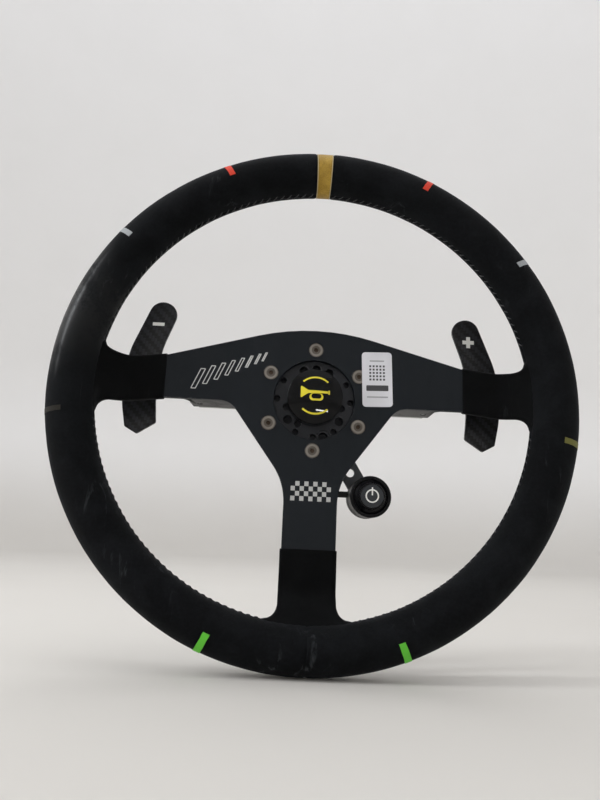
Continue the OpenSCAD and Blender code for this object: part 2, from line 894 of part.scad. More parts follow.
module pod_arm_screws() {
  color("dimgray") arm_holes() translate([0, 0, pod_z]) cap_screw(small_d, pod_arm_t + 4);
}

// Places what follows on the pod's own axis
module at_pod() {
  translate([pod_x, -pod_y, 0]) children();
}

module pod_body() {
  color([0.05, 0.05, 0.055]) at_pod() difference() {
    bar(pod_r, pod_z, pod_front);
    bar(pod_r - pod_wall, pod_z + pod_floor, pod_front + 1);
    bar(2, pod_z - 1, pod_z + pod_floor + 1);
  }
}

module pod_screw() {
  color("dimgray") at_pod() translate([0, 0, arm_back]) mirror([0, 0, 1])
    cap_screw(4, pod_arm_t + pod_floor + 3);
}

module pod_bezel() {
  color([0.1, 0.1, 0.11]) at_pod() difference() {
    bar(pod_r + 0.2, pod_front, pod_front + bezel_t);
    bar(bezel_in, pod_front - 1, pod_front + bezel_t + 1);
  }
}

// Pod button: lip, skirt and a cone up to the face
module pod_button() {
  skirt_r = bezel_in - slide_gap;
  lip_r = pod_r - pod_wall - slide_gap;
  low = pod_front - rest_gap - 1.5;
  high = pod_front + bezel_t;
  color([0.03, 0.03, 0.033]) at_pod() difference() {
    rotate_extrude() polygon([
      [0, low], [lip_r, low], [lip_r, low + 1.5], [skirt_r, low + 1.5], [skirt_r, high],
      [face_r + 1.2, high + 2.6], [face_r + 0.5, face_z], [0, face_z]
    ]);
    bar(face_r, face_z - 0.6, face_z + 1);
    pipe(skirt_r - 2, 3, low - 1, high - 1);
  }
}

module pod_face() {
  color([0.25, 0.26, 0.28]) at_pod() bar(face_r, face_z - 0.6, face_z - 0.1);
}

module pod_spring() {
  bottom = pod_z + pod_floor;
  color("silver") at_pod() translate([0, 0, bottom]) coil(6, 1, 6, pod_front + bezel_t - 1 - bottom);
}

// Switch on the pod's floor, over the end of its screw
module pod_switch() {
  top = pod_front - rest_gap - 1.5 - pod_travel - rest_gap;
  color("dimgray") at_pod() difference() {
    bar(4, pod_z + pod_floor, top);
    bar(2, pod_z, pod_z + pod_floor + 3);
  }
}

module pod_gland() {
  color("black") difference() {
    translate([pod_x, gland_y, gland_z]) rotate([0, -90, 0]) cylinder(r = gland_r, h = pod_r + gland_l);
    at_pod() bar(pod_r, pod_z - 1, pod_front + 1);
  }
}

// Cable from the pod's gland, behind the bottom spoke and into the hub's waist
module pod_cable() {
  sides = 8;
  rings = 22;
  start = [[pod_x - pod_r - gland_l, gland_y]];
  end = [[0, -waist_d / 2]];
  path = concat(start, [for (p = cable_route) if (p.x < start[0].x) p], end);
  line = [for (i = [0 : rings - 1]) along(path, (len(path) - 1) * i / (rings - 1))];
  ways = [for (i = [0 : rings - 1])
    i == 0 ? [-1, 0] : i == rings - 1 ? [0, 1] : unit(line[i + 1] - line[i - 1])];
  points = [for (i = [0 : rings - 1]) for (j = [0 : sides - 1])
    let (c = cable_d / 2 * cos(360 * j / sides), s = cable_d / 2 * sin(360 * j / sides))
    [line[i].x - ways[i].y * c, line[i].y + ways[i].x * c, gland_z + s]];
  color([0.03, 0.03, 0.03]) polyhedron(points, tube_faces(rings, sides), convexity = 6);
}

row() rim_core();
row() rim_foam();
row() suede_left();
row() suede_right();
row() marker_band();
row() grip_tapes();
row() wrap_left();
row() wrap_right();
row() wrap_foot_spoke();
row() spoke_plate();
row() plate_screws();
row() plate_label();
row() hub();
row() horn_body();
row() horn_snap_ring();
row() horn_cap();
row() cap_contact();
row() horn_contact();
row() horn_spring();
row() shifter_carrier();
row() housing_left();
row() housing_right();
row() housing_screws();
row() pivot_pins();
row() housing_magnets();
row() stop_screws();
row() switch_boards();
row() shift_switches();
row() plunger_left();
row() plunger_right();
row() lever_left();
row() lever_right();
row() lever_magnet_left();
row() lever_magnet_right();
row() paddle_left();
row() paddle_right();
row() paddle_screws_left();
row() paddle_screws_right();
row() qr_body();
row() qr_screws();
row() qr_collar();
row() qr_spring();
row() qr_retaining_ring();
row() ball(1);  // ball_1
row() ball(2);  // ball_2
row() ball(3);  // ball_3
row() ball(4);  // ball_4
row() ball(5);  // ball_5
row() ball(6);  // ball_6
row() pod_arm();
row() pod_arm_screws();
row() pod_body();
row() pod_screw();
row() pod_bezel();
row() pod_button();
row() pod_face();
row() pod_spring();
row() pod_switch();
row() pod_gland();
row() pod_cable();
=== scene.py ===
import json
import math

import bmesh
import bpy
from mathutils import Matrix, Vector, noise

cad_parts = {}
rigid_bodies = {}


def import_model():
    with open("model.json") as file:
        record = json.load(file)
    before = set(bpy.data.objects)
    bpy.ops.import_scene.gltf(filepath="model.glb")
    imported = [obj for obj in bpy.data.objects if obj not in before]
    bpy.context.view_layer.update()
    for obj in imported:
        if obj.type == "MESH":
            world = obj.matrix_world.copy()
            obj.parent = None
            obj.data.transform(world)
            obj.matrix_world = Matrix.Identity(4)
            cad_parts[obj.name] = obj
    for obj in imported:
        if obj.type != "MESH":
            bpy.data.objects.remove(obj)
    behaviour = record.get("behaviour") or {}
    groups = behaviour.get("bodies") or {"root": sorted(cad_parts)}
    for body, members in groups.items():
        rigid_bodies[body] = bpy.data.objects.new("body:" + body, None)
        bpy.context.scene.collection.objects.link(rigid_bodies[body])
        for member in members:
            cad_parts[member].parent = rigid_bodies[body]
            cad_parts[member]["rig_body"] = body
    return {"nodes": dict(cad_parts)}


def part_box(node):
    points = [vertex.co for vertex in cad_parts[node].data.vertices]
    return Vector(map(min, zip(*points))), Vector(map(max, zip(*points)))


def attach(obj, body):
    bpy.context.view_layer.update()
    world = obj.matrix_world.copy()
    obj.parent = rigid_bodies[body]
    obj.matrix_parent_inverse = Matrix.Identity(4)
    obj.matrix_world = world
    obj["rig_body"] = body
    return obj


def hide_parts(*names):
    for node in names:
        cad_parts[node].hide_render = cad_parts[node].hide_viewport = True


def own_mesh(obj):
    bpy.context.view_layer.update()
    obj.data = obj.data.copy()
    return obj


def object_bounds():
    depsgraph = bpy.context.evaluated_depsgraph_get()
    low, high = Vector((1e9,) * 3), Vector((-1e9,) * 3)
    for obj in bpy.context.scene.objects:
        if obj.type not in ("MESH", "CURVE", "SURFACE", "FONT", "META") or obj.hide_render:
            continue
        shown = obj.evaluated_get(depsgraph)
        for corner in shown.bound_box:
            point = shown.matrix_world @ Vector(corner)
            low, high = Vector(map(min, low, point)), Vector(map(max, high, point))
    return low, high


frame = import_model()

CAD_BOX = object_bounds()

# The wheel is drawn flat, in millimetres: x to the right, y to the crest, z towards the driver.
# z starts at the quick release mouth, which is the frame's origin.


def stand(p):
    """A point drawn flat, as a point of the frame in metres."""
    return Vector((p[0], -p[2], p[1])) / 1000


def flat_box(node):
    """Lowest and highest corner of a CAD node, drawn flat."""
    low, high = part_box(node)
    return Vector((low.x, low.z, -high.y)) * 1000, Vector((high.x, high.z, -low.y)) * 1000


def centre_of(node):
    low, high = flat_box(node)
    return (low + high) / 2


def polar(angle, r=1.0):
    return Vector((r * math.cos(math.radians(angle)), r * math.sin(math.radians(angle))))


def clamp(v, low=0.0, high=1.0):
    return max(low, min(high, v))


def smooth(v):
    v = clamp(v)
    return v * v * (3 - 2 * v)


# ---------------------------------------------------------------- Sizes from the frame

suede_low, suede_high = flat_box("suede_left")
GRIP_R = (suede_high.z - suede_low.z) / 2
RIM_Z = (suede_high.z + suede_low.z) / 2
RIM_R = -suede_low.x - GRIP_R
RIM_IN = RIM_R - GRIP_R
SUEDE_T = 1.6

PLATE_Z = flat_box("plate_label")[0].z
WRAP_LOW, WRAP_HIGH = flat_box("wrap_right")
FOOT_LOW, FOOT_HIGH = flat_box("wrap_foot_spoke")
BAND_HALF = math.degrees(math.asin(flat_box("marker_band")[1].x / (RIM_R + GRIP_R)))
CREST, FOOT = 90, 270

# ---------------------------------------------------------------- Drawing meshes


class Form:
    """A mesh being drawn flat."""

    def __init__(self):
        self.points = []
        self.faces = []

    def row(self, points):
        """Adds points and returns their numbers."""
        first = len(self.points)
        self.points += [Vector(p) for p in points]
        return list(range(first, len(self.points)))

    def skin(self, rows):
        """Joins neighbouring rows with quads; each row runs back to its first point."""
        for a, b in zip(rows, rows[1:]):
            for j in range(len(a)):
                k = (j + 1) % len(a)
                self.faces.append((a[j], b[j], b[k], a[k]))

    def cap(self, row):
        self.faces.append(tuple(row))

    def fan(self, row, tip):
        """Closes a row onto one point."""
        top = self.row([tip])[0]
        for j in range(len(row)):
            self.faces.append((row[j], row[(j + 1) % len(row)], top))


def mesh_piece(name, form, body, finish, slot, nodes=(), sharp=40):
    """Makes a piece from a form: it rides on a body and may stand for CAD nodes."""
    made = bpy.data.meshes.new(name)
    made.from_pydata([stand(p) for p in form.points], [], form.faces)
    work = bmesh.new()
    work.from_mesh(made)
    bmesh.ops.recalc_face_normals(work, faces=work.faces)
    work.to_mesh(made)
    work.free()
    return placed(name, made, body, finish, slot, nodes, sharp)


def placed(name, mesh, body, finish, slot, nodes, sharp):
    """An object for a finished mesh, with its finish, its body and the nodes that it stands for."""
    mesh.shade_smooth()
    mesh.set_sharp_from_angle(angle=math.radians(sharp))
    piece = bpy.data.objects.new(name, mesh)
    bpy.context.scene.collection.objects.link(piece)
    mesh.materials.append(finish)
    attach(piece, body)
    if nodes:
        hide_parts(*nodes)
    return piece


def hoop(centre, r, z, steps):
    """Points of a circle round a centre, at one height."""
    return [(centre[0] + p.x, centre[1] + p.y, z) for p in (polar(360 * i / steps, r) for i in range(steps))]


def lathe(profile, centre=(0, 0), steps=96):
    """A closed form turned round an axis along z; the profile is a list of (r, z), from axis to axis or closed."""
    form = Form()
    rows = [form.row(hoop(centre, r, z, steps)) for r, z in profile if r > 0]
    form.skin(rows)
    if profile[0][0] > 0:
        form.skin([rows[-1], rows[0]])
    else:
        form.fan(rows[0], (centre[0], centre[1], profile[0][1]))
        form.fan(rows[-1], (centre[0], centre[1], profile[-1][1]))
    return form


def eased(corners, steps, closed):
    """A path of (x, y, radius) corners as points, each corner rounded by its radius."""
    points = []
    count = len(corners)
    for i, (x, y, r) in enumerate(corners):
        here = Vector((x, y))
        if r == 0 or (not closed and i in (0, count - 1)):
            points.append(here)
            continue
        before = (Vector(corners[i - 1][:2]) - here).normalized()
        after = (Vector(corners[(i + 1) % count][:2]) - here).normalized()
        half = math.acos(clamp(before.dot(after), -1, 1)) / 2
        middle = here + (before + after).normalized() * r / math.sin(half)
        start = here + before * r / math.tan(half) - middle
        end = here + after * r / math.tan(half) - middle
        turn = math.atan2(start.x * end.y - start.y * end.x, start.dot(end))
        points += [middle + Matrix.Rotation(turn * k / steps, 2) @ start for k in range(steps + 1)]
    return points


def tube(form, path, r, sides, closed=False):
    """Sweeps a round section along a path of points and adds it to a form."""
    path = [Vector(p) for p in path]
    section = [polar(360 * j / sides, r) for j in range(sides)]
    count = len(path)
    rows = []
    across = None
    for i, here in enumerate(path):
        if closed:
            way = (path[(i + 1) % count] - path[i - 1]).normalized()
        else:
            way = (path[min(i + 1, count - 1)] - path[max(i - 1, 0)]).normalized()
        if across is None:
            across = way.orthogonal()
        across = (across - way * across.dot(way)).normalized()
        up = way.cross(across)
        rows.append(form.row([here + across * p.x + up * p.y for p in section]))
    form.skin(rows + [rows[0]] if closed else rows)
    if not closed:
        form.cap(rows[0])
        form.cap(rows[-1])


def curve_through(points, steps):
    """A smooth path through points, a Catmull-Rom curve with a number of steps between each two."""
    points = [Vector(p) for p in points]
    path = []
    for i in range(len(points) - 1):
        a, b = points[max(i - 1, 0)], points[i]
        c, d = points[i + 1], points[min(i + 2, len(points) - 1)]
        for k in range(steps):
            f = k / steps
            path.append(0.5 * (2 * b + (c - a) * f + (2 * a - 5 * b + 4 * c - d) * f * f
                               + (3 * b - a - 3 * c + d) * f * f * f))
    return path + [points[-1]]


def softened(node, width, finish, slot):
    """A copy of a CAD node with its sharp edges rounded to a width in millimetres, which stands for the node."""
    same_place = 2e-6
    flat_enough, sharp_edge = math.radians(0.4), math.radians(32)
    source = frame["nodes"][node]
    work = bmesh.new()
    work.from_mesh(source.data)
    bmesh.ops.remove_doubles(work, verts=work.verts, dist=same_place)
    bmesh.ops.dissolve_limit(work, angle_limit=flat_enough, verts=work.verts, edges=work.edges)
    edge_mark = work.faces.layers.float.new("edge")
    corners = [e for e in work.edges if e.is_manifold and e.calc_face_angle(0) > sharp_edge]
    rounded = bmesh.ops.bevel(work, geom=corners, offset=width / 1000, offset_type="OFFSET", affect="EDGES",
                              segments=2, profile=0.5, clamp_overlap=False)
    for face in rounded["faces"]:
        face[edge_mark] = 1.0
    mesh = bpy.data.meshes.new(node + "_soft")
    work.to_mesh(mesh)
    work.free()
    piece = placed(node + "_finished", mesh, source["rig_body"], finish, slot, (node,), sharp=45)
    weighted = piece.modifiers.new("weighted", "WEIGHTED_NORMAL")
    weighted.keep_sharp = True
    return piece


# ---------------------------------------------------------------- Effects that the finishes share


def feed(tree, socket, value):
    """Links a socket to another, or sets it to a plain value."""
    if isinstance(value, bpy.types.NodeSocket):
        tree.links.new(value, socket)
    elif socket.type == "RGBA":
        socket.default_value = (*value, 1)
    else:
        socket.default_value = value


def add(tree, kind, inputs=None, **settings):
    """Adds a shader node with its settings and inputs."""
    made = tree.nodes.new(kind)
    for key, value in settings.items():
        setattr(made, key, value)
    for key, value in (inputs or {}).items():
        feed(tree, made.inputs[key], value)
    return made


def maths(tree, operation, a, b=0.0):
    return add(tree, "ShaderNodeMath", {0: a, 1: b}, operation=operation).outputs[0]


def times(tree, a, *others):
    """The product of two or more values."""
    for b in others:
        a = maths(tree, "MULTIPLY", a, b)
    return a


def blend(tree, a, share_a, b, share_b):
    """Two values added up, each with its share."""
    return maths(tree, "ADD", times(tree, a, share_a), times(tree, b, share_b))


def remap(tree, value, low, high, to_low=0.0, to_high=1.0):
    """Turns low..high into to_low..to_high, and holds at the ends."""
    inputs = {"Value": value, "From Min": low, "From Max": high, "To Min": to_low, "To Max": to_high}
    return add(tree, "ShaderNodeMapRange", inputs, interpolation_type="SMOOTHSTEP").outputs[0]


def mix(tree, factor, a, b):
    """Colour a where factor is 0, b where it is 1."""
    return add(tree, "ShaderNodeMix", {0: factor, 6: a, 7: b}, data_type="RGBA").outputs[2]


def spots(tree, place, scale, detail, rough, stretch=(1, 1, 1), distortion=0.0):
    """Noise over the surface, from 0 to 1; scale counts patches in a metre."""
    if stretch != (1, 1, 1):
        place = add(tree, "ShaderNodeVectorMath", {0: place, 1: stretch}, operation="MULTIPLY").outputs[0]
    inputs = {"Vector": place, "Scale": scale, "Detail": detail, "Roughness": rough, "Distortion": distortion}
    return add(tree, "ShaderNodeTexNoise", inputs).outputs[0]


def effect(name, inputs, outputs, build):
    """A shader node group: build gets its tree and its named inputs, and returns its named outputs."""
    tree = bpy.data.node_groups.new(name, "ShaderNodeTree")
    for label, kind, value in inputs:
        socket = tree.interface.new_socket(label, in_out="INPUT", socket_type=kind)
        if value is not None:
            socket.default_value = value
    for label, kind in outputs:
        tree.interface.new_socket(label, in_out="OUTPUT", socket_type=kind)
    entry = tree.nodes.new("NodeGroupInput")
    leave = tree.nodes.new("NodeGroupOutput")
    made = build(tree, entry.outputs)
    for label, value in made.items():
        tree.links.new(value, leave.inputs[label])
    return tree


def nap(tree, given):
    """Brushed suede: fine fibres over soft patches that were stroked either way."""
    fibres = spots(tree, given["Place"], 2600, 3, 0.7)
    tufts = spots(tree, given["Place"], 520, 3, 0.6)
    strokes = spots(tree, given["Place"], 38, 4, 0.62, distortion=0.6)
    shade = blend(tree, remap(tree, strokes, 0.38, 0.66), 0.62, remap(tree, tufts, 0.35, 0.7), 0.38)
    return {"Shade": shade, "Height": blend(tree, fibres, 0.45, tufts, 0.55)}


def scuffs(tree, given):
    """Thin pale rub marks that run one way, in a few places."""
    lines = spots(tree, given["Place"], given["Scale"], 4, 0.65, stretch=(1, 1, 0.16), distortion=0.8)
    where = spots(tree, given["Place"], 21, 2, 0.5)
    return {"Mask": times(tree, remap(tree, lines, 0.56, 0.74), remap(tree, where, 0.5, 0.68), given["Amount"])}


def edge_wear(tree, given):
    """Rubbed edges: the rounded edges of a piece, broken up where the hand or a tool has touched them."""
    edge = add(tree, "ShaderNodeAttribute", attribute_name="edge", attribute_type="GEOMETRY").outputs["Fac"]
    broken = remap(tree, spots(tree, given["Place"], 240, 5, 0.7), 0.5, 0.62)
    faint = remap(tree, spots(tree, given["Place"], 30, 2, 0.5), 0.3, 0.7)
    return {"Mask": times(tree, edge, broken, faint, given["Amount"])}


def dust(tree, given):
    """Dust that has settled on what faces up."""
    normal = add(tree, "ShaderNodeNewGeometry").outputs["Normal"]
    up = add(tree, "ShaderNodeSeparateXYZ", {0: normal}).outputs[2]
    specks = spots(tree, given["Place"], 900, 4, 0.7)
    cloud = spots(tree, given["Place"], 55, 4, 0.6)
    lying = times(tree, remap(tree, up, -0.1, 1.0, 0.25, 1.0), remap(tree, cloud, 0.35, 0.75))
    return {"Mask": times(tree, lying, remap(tree, specks, 0.42, 0.72), given["Amount"])}


def grain(tree, given):
    """Fine even texture of blasted metal or moulded plastic, with broad uneven shine."""
    fine = spots(tree, given["Place"], given["Scale"], 2, 0.6)
    broad = spots(tree, given["Place"], 26, 3, 0.55, distortion=0.4)
    return {"Height": fine, "Shine": broad}


def handling(tree, given):
    """Finger marks and wiping streaks, as a change of shine."""
    smears = spots(tree, given["Place"], 46, 5, 0.66, stretch=(1, 1, 0.45), distortion=1.4)
    hairs = spots(tree, given["Place"], 380, 2, 0.5, stretch=(1, 1, 0.05))
    marks = blend(tree, remap(tree, smears, 0.45, 0.7), 0.8, remap(tree, hairs, 0.6, 0.75), 0.2)
    return {"Mask": times(tree, marks, given["Amount"])}


def turned(tree, given):
    """Fine rings that a lathe leaves round an axis at the frame's middle."""
    flat = add(tree, "ShaderNodeVectorMath", {0: given["Place"], 1: (1, 0, 1)}, operation="MULTIPLY").outputs[0]
    out = add(tree, "ShaderNodeVectorMath", {0: flat}, operation="LENGTH").outputs["Value"]
    along = add(tree, "ShaderNodeSeparateXYZ", {0: given["Place"]}).outputs[1]
    way = add(tree, "ShaderNodeCombineXYZ", {0: out, 1: along}).outputs[0]
    return {"Height": spots(tree, way, 4200, 1, 0.4)}


def twill(tree, given):
    """Two-by-two twill cloth: which tow is on top, its round crown and its single filaments."""
    parts = add(tree, "ShaderNodeSeparateXYZ", {0: given["Place"]})
    u = maths(tree, "DIVIDE", parts.outputs[0], given["Tow"])
    v = maths(tree, "DIVIDE", parts.outputs[2], given["Tow"])
    step = maths(tree, "ADD", maths(tree, "FLOOR", u), maths(tree, "FLOOR", v))
    over = maths(tree, "LESS_THAN", maths(tree, "FLOORED_MODULO", step, 4.0), 1.5)

    def crown(t):
        off = maths(tree, "ABSOLUTE", maths(tree, "SUBTRACT", maths(tree, "FRACT", t), 0.5))
        return maths(tree, "SUBTRACT", 1.0, maths(tree, "POWER", times(tree, off, 2.0), 2.5))

    def filaments(t):
        return maths(tree, "SINE", times(tree, t, 56.0))

    height = add(tree, "ShaderNodeMix", {0: over, 2: crown(v), 3: crown(u)}).outputs[0]
    thread = add(tree, "ShaderNodeMix", {0: over, 2: filaments(v), 3: filaments(u)}).outputs[0]
    return {"Over": over, "Height": height, "Filament": remap(tree, thread, -1.0, 1.0)}


def hide_grain(tree, given):
    """Smooth leather: small closed cells with creases between them."""
    inputs = {"Vector": given["Place"], "Scale": given["Scale"]}
    cells = add(tree, "ShaderNodeTexVoronoi", inputs, feature="DISTANCE_TO_EDGE").outputs[0]
    return {"Height": remap(tree, cells, 0.0, 0.16), "Tone": spots(tree, given["Place"], 120, 4, 0.6)}


PLACE = ("Place", "NodeSocketVector", None)
AMOUNT = ("Amount", "NodeSocketFloat", 1.0)
VALUE = "NodeSocketFloat"
NAP = effect("suede nap", [PLACE], [("Shade", VALUE), ("Height", VALUE)], nap)
SCUFFS = effect("scuff marks", [PLACE, ("Scale", VALUE, 420.0), AMOUNT], [("Mask", VALUE)], scuffs)
EDGE_WEAR = effect("edge wear", [PLACE, AMOUNT], [("Mask", VALUE)], edge_wear)
DUST = effect("settled dust", [PLACE, AMOUNT], [("Mask", VALUE)], dust)
GRAIN = effect("fine grain", [PLACE, ("Scale", VALUE, 3000.0)], [("Height", VALUE), ("Shine", VALUE)], grain)
HANDLING = effect("handling marks", [PLACE, AMOUNT], [("Mask", VALUE)], handling)
TURNED = effect("turned rings", [PLACE], [("Height", VALUE)], turned)
TWILL = effect("twill weave", [PLACE, ("Tow", VALUE, 0.002)],
               [("Over", VALUE), ("Height", VALUE), ("Filament", VALUE)], twill)
HIDE = effect("leather grain", [PLACE, ("Scale", VALUE, 1400.0)], [("Height", VALUE), ("Tone", VALUE)], hide_grain)

# ---------------------------------------------------------------- Finishes


class Finish:
    """A material on one shader, whose plain values are set on the shader itself."""

    def __init__(self, name, **plain):
        self.material = bpy.data.materials.new(name)
        self.material.use_nodes = True
        self.tree = self.material.node_tree
        self.shader = self.tree.nodes["Principled BSDF"]
        self.place = add(self.tree, "ShaderNodeTexCoord").outputs["Object"]
        for key, value in plain.items():
            self.set(key.replace("_", " ").title().replace("Ior", "IOR"), value)

    def set(self, socket, value):
        feed(self.tree, self.shader.inputs[socket], value)

    def use(self, group, **inputs):
        """Places an effect and returns its outputs."""
        made = add(self.tree, "ShaderNodeGroup", node_tree=group)
        feed(self.tree, made.inputs["Place"], self.place)
        for key, value in inputs.items():
            feed(self.tree, made.inputs[key], value)
        return made.outputs

    def surface(self, colour, rough, height, depth, strength):
        """Sets the colour, the roughness and a bump of up to a depth in metres, and returns the material."""
        self.set("Base Color", colour)
        self.set("Roughness", rough)
        bump = add(self.tree, "ShaderNodeBump", {"Height": height, "Distance": depth, "Strength": strength})
        self.set("Normal", bump.outputs[0])
        return self.material

    def mix(self, factor, a, b):
        return mix(self.tree, factor, a, b)

    def remap(self, value, low, high, to_low=0.0, to_high=1.0):
        return remap(self.tree, value, low, high, to_low, to_high)


def tinted(colour, share):
    """A colour made darker or lighter by a share."""
    return tuple(c * share for c in colour)


WORN_WAY = (-0.92, -0.28, 0.28)


def suede(name, dark, light, dusty, worn_shine):
    """Black suede; where hands rest, at WORN_WAY from the middle, it is worn smooth and shines a little."""
    cloth = Finish(name, coat_roughness=0.3, specular_ior_level=0.12, sheen_weight=0.035, sheen_roughness=0.4,
                   sheen_tint=(0.8, 0.85, 0.92))
    fibre = cloth.use(NAP)
    tone = cloth.mix(fibre["Shade"], dark, light)
    tone = cloth.mix(cloth.use(SCUFFS, Scale=150.0, Amount=dusty)["Mask"], tone, (0.05, 0.054, 0.058))
    tone = cloth.mix(cloth.use(DUST, Amount=dusty * 0.3)["Mask"], tone, (0.03, 0.031, 0.031))
    way = add(cloth.tree, "ShaderNodeVectorMath", {0: cloth.place}, operation="NORMALIZE").outputs[0]
    near = add(cloth.tree, "ShaderNodeVectorMath", {0: way, 1: WORN_WAY}, operation="DOT_PRODUCT").outputs["Value"]
    flattened = cloth.remap(fibre["Shade"], 0.15, 0.85, 1.0, 0.25)
    patch = times(cloth.tree, cloth.remap(near, 0.91, 0.985), worn_shine, flattened)
    cloth.set("Coat Weight", times(cloth.tree, patch, 0.6))
    return cloth.surface(tone, cloth.remap(patch, 0.0, 1.0, 0.88, 0.38), fibre["Height"], 0.00035, 0.55)


def anodised(name, colour, rough, rubbed=(0.20, 0.20, 0.20), wear=0.8, dusty=0.35):
    """Dyed, blasted aluminium: satin, with finger marks, rubbed edges and a little dust."""
    metal = Finish(name, metallic=0.3, specular_ior_level=0.3)
    skin = metal.use(GRAIN, Scale=2600.0)
    marks = metal.use(HANDLING, Amount=1.0)["Mask"]
    tone = metal.mix(skin["Shine"], tinted(colour, 0.8), tinted(colour, 1.15))
    tone = metal.mix(metal.use(DUST, Amount=dusty)["Mask"], tone, (0.12, 0.115, 0.10))
    tone = metal.mix(metal.use(EDGE_WEAR, Amount=wear)["Mask"], tone, rubbed)
    return metal.surface(tone, metal.remap(marks, 0.0, 1.0, rough, rough + 0.12), skin["Height"], 0.00006, 0.6)


TARNISH = (0.10, 0.075, 0.05)


def bare_metal(name, colour, rough, rings=False, stained=0.25):
    """Uncoated metal with tool marks, uneven shine and a little tarnish."""
    metal = Finish(name, metallic=1.0)
    skin = metal.use(GRAIN, Scale=1500.0)
    height = metal.use(TURNED)["Height"] if rings else skin["Height"]
    spotted = times(metal.tree, metal.remap(skin["Shine"], 0.45, 0.75), stained)
    return metal.surface(metal.mix(spotted, colour, TARNISH),
                         metal.remap(skin["Shine"], 0.3, 0.7, rough, rough + 0.16), height, 0.00003, 0.6)


def moulded(name, colour, rough, scale=1800.0, depth=0.00012, dusty=0.3, shine=0.5):
    """Moulded plastic, rubber or foam: a fine skin, a little dust and some handling."""
    plastic = Finish(name, specular_ior_level=shine)
    skin = plastic.use(GRAIN, Scale=scale)
    marks = plastic.use(HANDLING, Amount=1.0)["Mask"]
    tone = plastic.mix(skin["Shine"], tinted(colour, 0.75), tinted(colour, 1.2))
    tone = plastic.mix(plastic.use(DUST, Amount=dusty)["Mask"], tone, (0.16, 0.155, 0.14))
    return plastic.surface(tone, plastic.remap(marks, 0.0, 1.0, rough, rough + 0.15), skin["Height"], depth, 0.5)


def printed(name, colour, rough):
    """Ink or paint laid on a piece, a little thin in places."""
    ink = Finish(name)
    skin = ink.use(GRAIN, Scale=900.0)
    thin = times(ink.tree, ink.remap(skin["Height"], 0.58, 0.8), 0.35)
    return ink.surface(ink.mix(thin, colour, tinted(colour, 0.55)),
                       ink.remap(skin["Shine"], 0.3, 0.7, rough - 0.08, rough + 0.08), skin["Height"], 0.00004, 0.4)


def cloth_tape(name, colour):
    """Coated cloth tape: a fine woven rib with painted shade in its low threads, and dirt rubbed in."""
    tape = Finish(name, sheen_weight=0.02, sheen_roughness=0.5, specular_ior_level=0.2)
    weave = tape.use(TWILL, Tow=0.0003)
    dirt = tape.use(SCUFFS, Scale=300.0, Amount=0.7)["Mask"]
    # Painted shade: the low parts of the weave are painted darker.
    tone = tape.mix(weave["Height"], tinted(colour, 0.7), colour)
    return tape.surface(tape.mix(dirt, tone, tinted(colour, 0.35)),
                        tape.remap(weave["Height"], 0.0, 1.0, 0.75, 0.55), weave["Height"], 0.00006, 0.7)


def band_leather():
    """Dyed leather with painted shade in its creases, greyed by hands."""
    hide = Finish("ochre leather", specular_ior_level=0.25, coat_weight=0.03, coat_roughness=0.4)
    cells = hide.use(HIDE, Scale=1500.0)
    tone = hide.mix(hide.remap(cells["Tone"], 0.3, 0.7), (0.40, 0.24, 0.028), (0.56, 0.36, 0.055))
    # Painted shade: darker towards the creases between the cells.
    tone = hide.mix(hide.remap(cells["Height"], 0.0, 1.0, 0.5, 0.0), tone, (0.12, 0.075, 0.02))
    tone = hide.mix(hide.use(SCUFFS, Scale=260.0, Amount=0.4)["Mask"], tone, (0.14, 0.10, 0.04))
    return hide.surface(tone, hide.remap(cells["Height"], 0.0, 1.0, 0.7, 0.48), cells["Height"], 0.00012, 0.6)


def carbon_fibre():
    """Twill carbon under clear resin: tows painted lighter or darker by the way they lie, a painted sheen, with
    painted shade between the tows.
    """
    sheet = Finish("carbon twill", specular_ior_level=0.3, coat_weight=0.2, coat_roughness=0.16)
    weave = sheet.use(TWILL, Tow=0.0021)
    # Painted sheen: tows that lie one way are painted lighter than the others, and their filament stripes lighter
    # and darker.
    lit = sheet.mix(weave["Filament"], (0.0085, 0.009, 0.0108), (0.020, 0.021, 0.025))
    dim = sheet.mix(weave["Filament"], (0.001, 0.001, 0.0013), (0.0025, 0.0026, 0.003))
    tone = sheet.mix(weave["Over"], dim, lit)
    # Painted shade where the tows dip between each other.
    tone = sheet.mix(sheet.remap(weave["Height"], 0.0, 0.6, 0.75, 0.0), tone, (0.003, 0.003, 0.003))
    return sheet.surface(tone, sheet.remap(weave["Over"], 0.0, 1.0, 0.42, 0.30), weave["Height"], 0.00018, 0.7)


def gloss_resin():
    """Deep black domed resin with faint wiping marks."""
    resin = Finish("black resin", coat_weight=0.22, coat_roughness=0.03, specular_ior_level=0.05)
    marks = resin.use(HANDLING, Amount=1.0)["Mask"]
    ripple = resin.use(GRAIN, Scale=60.0)
    tone = resin.mix(marks, (0.0012, 0.0012, 0.0014), (0.003, 0.003, 0.0033))
    return resin.surface(tone, resin.remap(marks, 0.0, 1.0, 0.06, 0.16), ripple["Shine"], 0.00004, 0.3)


def sewing_thread():
    """Waxed black thread."""
    thread = Finish("black thread", sheen_weight=0.2, sheen_roughness=0.4)
    twist = spots(thread.tree, thread.place, 5200, 1, 0.5)
    tone = thread.mix(twist, (0.008, 0.008, 0.009), (0.035, 0.035, 0.037))
    return thread.surface(tone, thread.remap(twist, 0.2, 0.8, 0.45, 0.7), twist, 0.0001, 0.6)


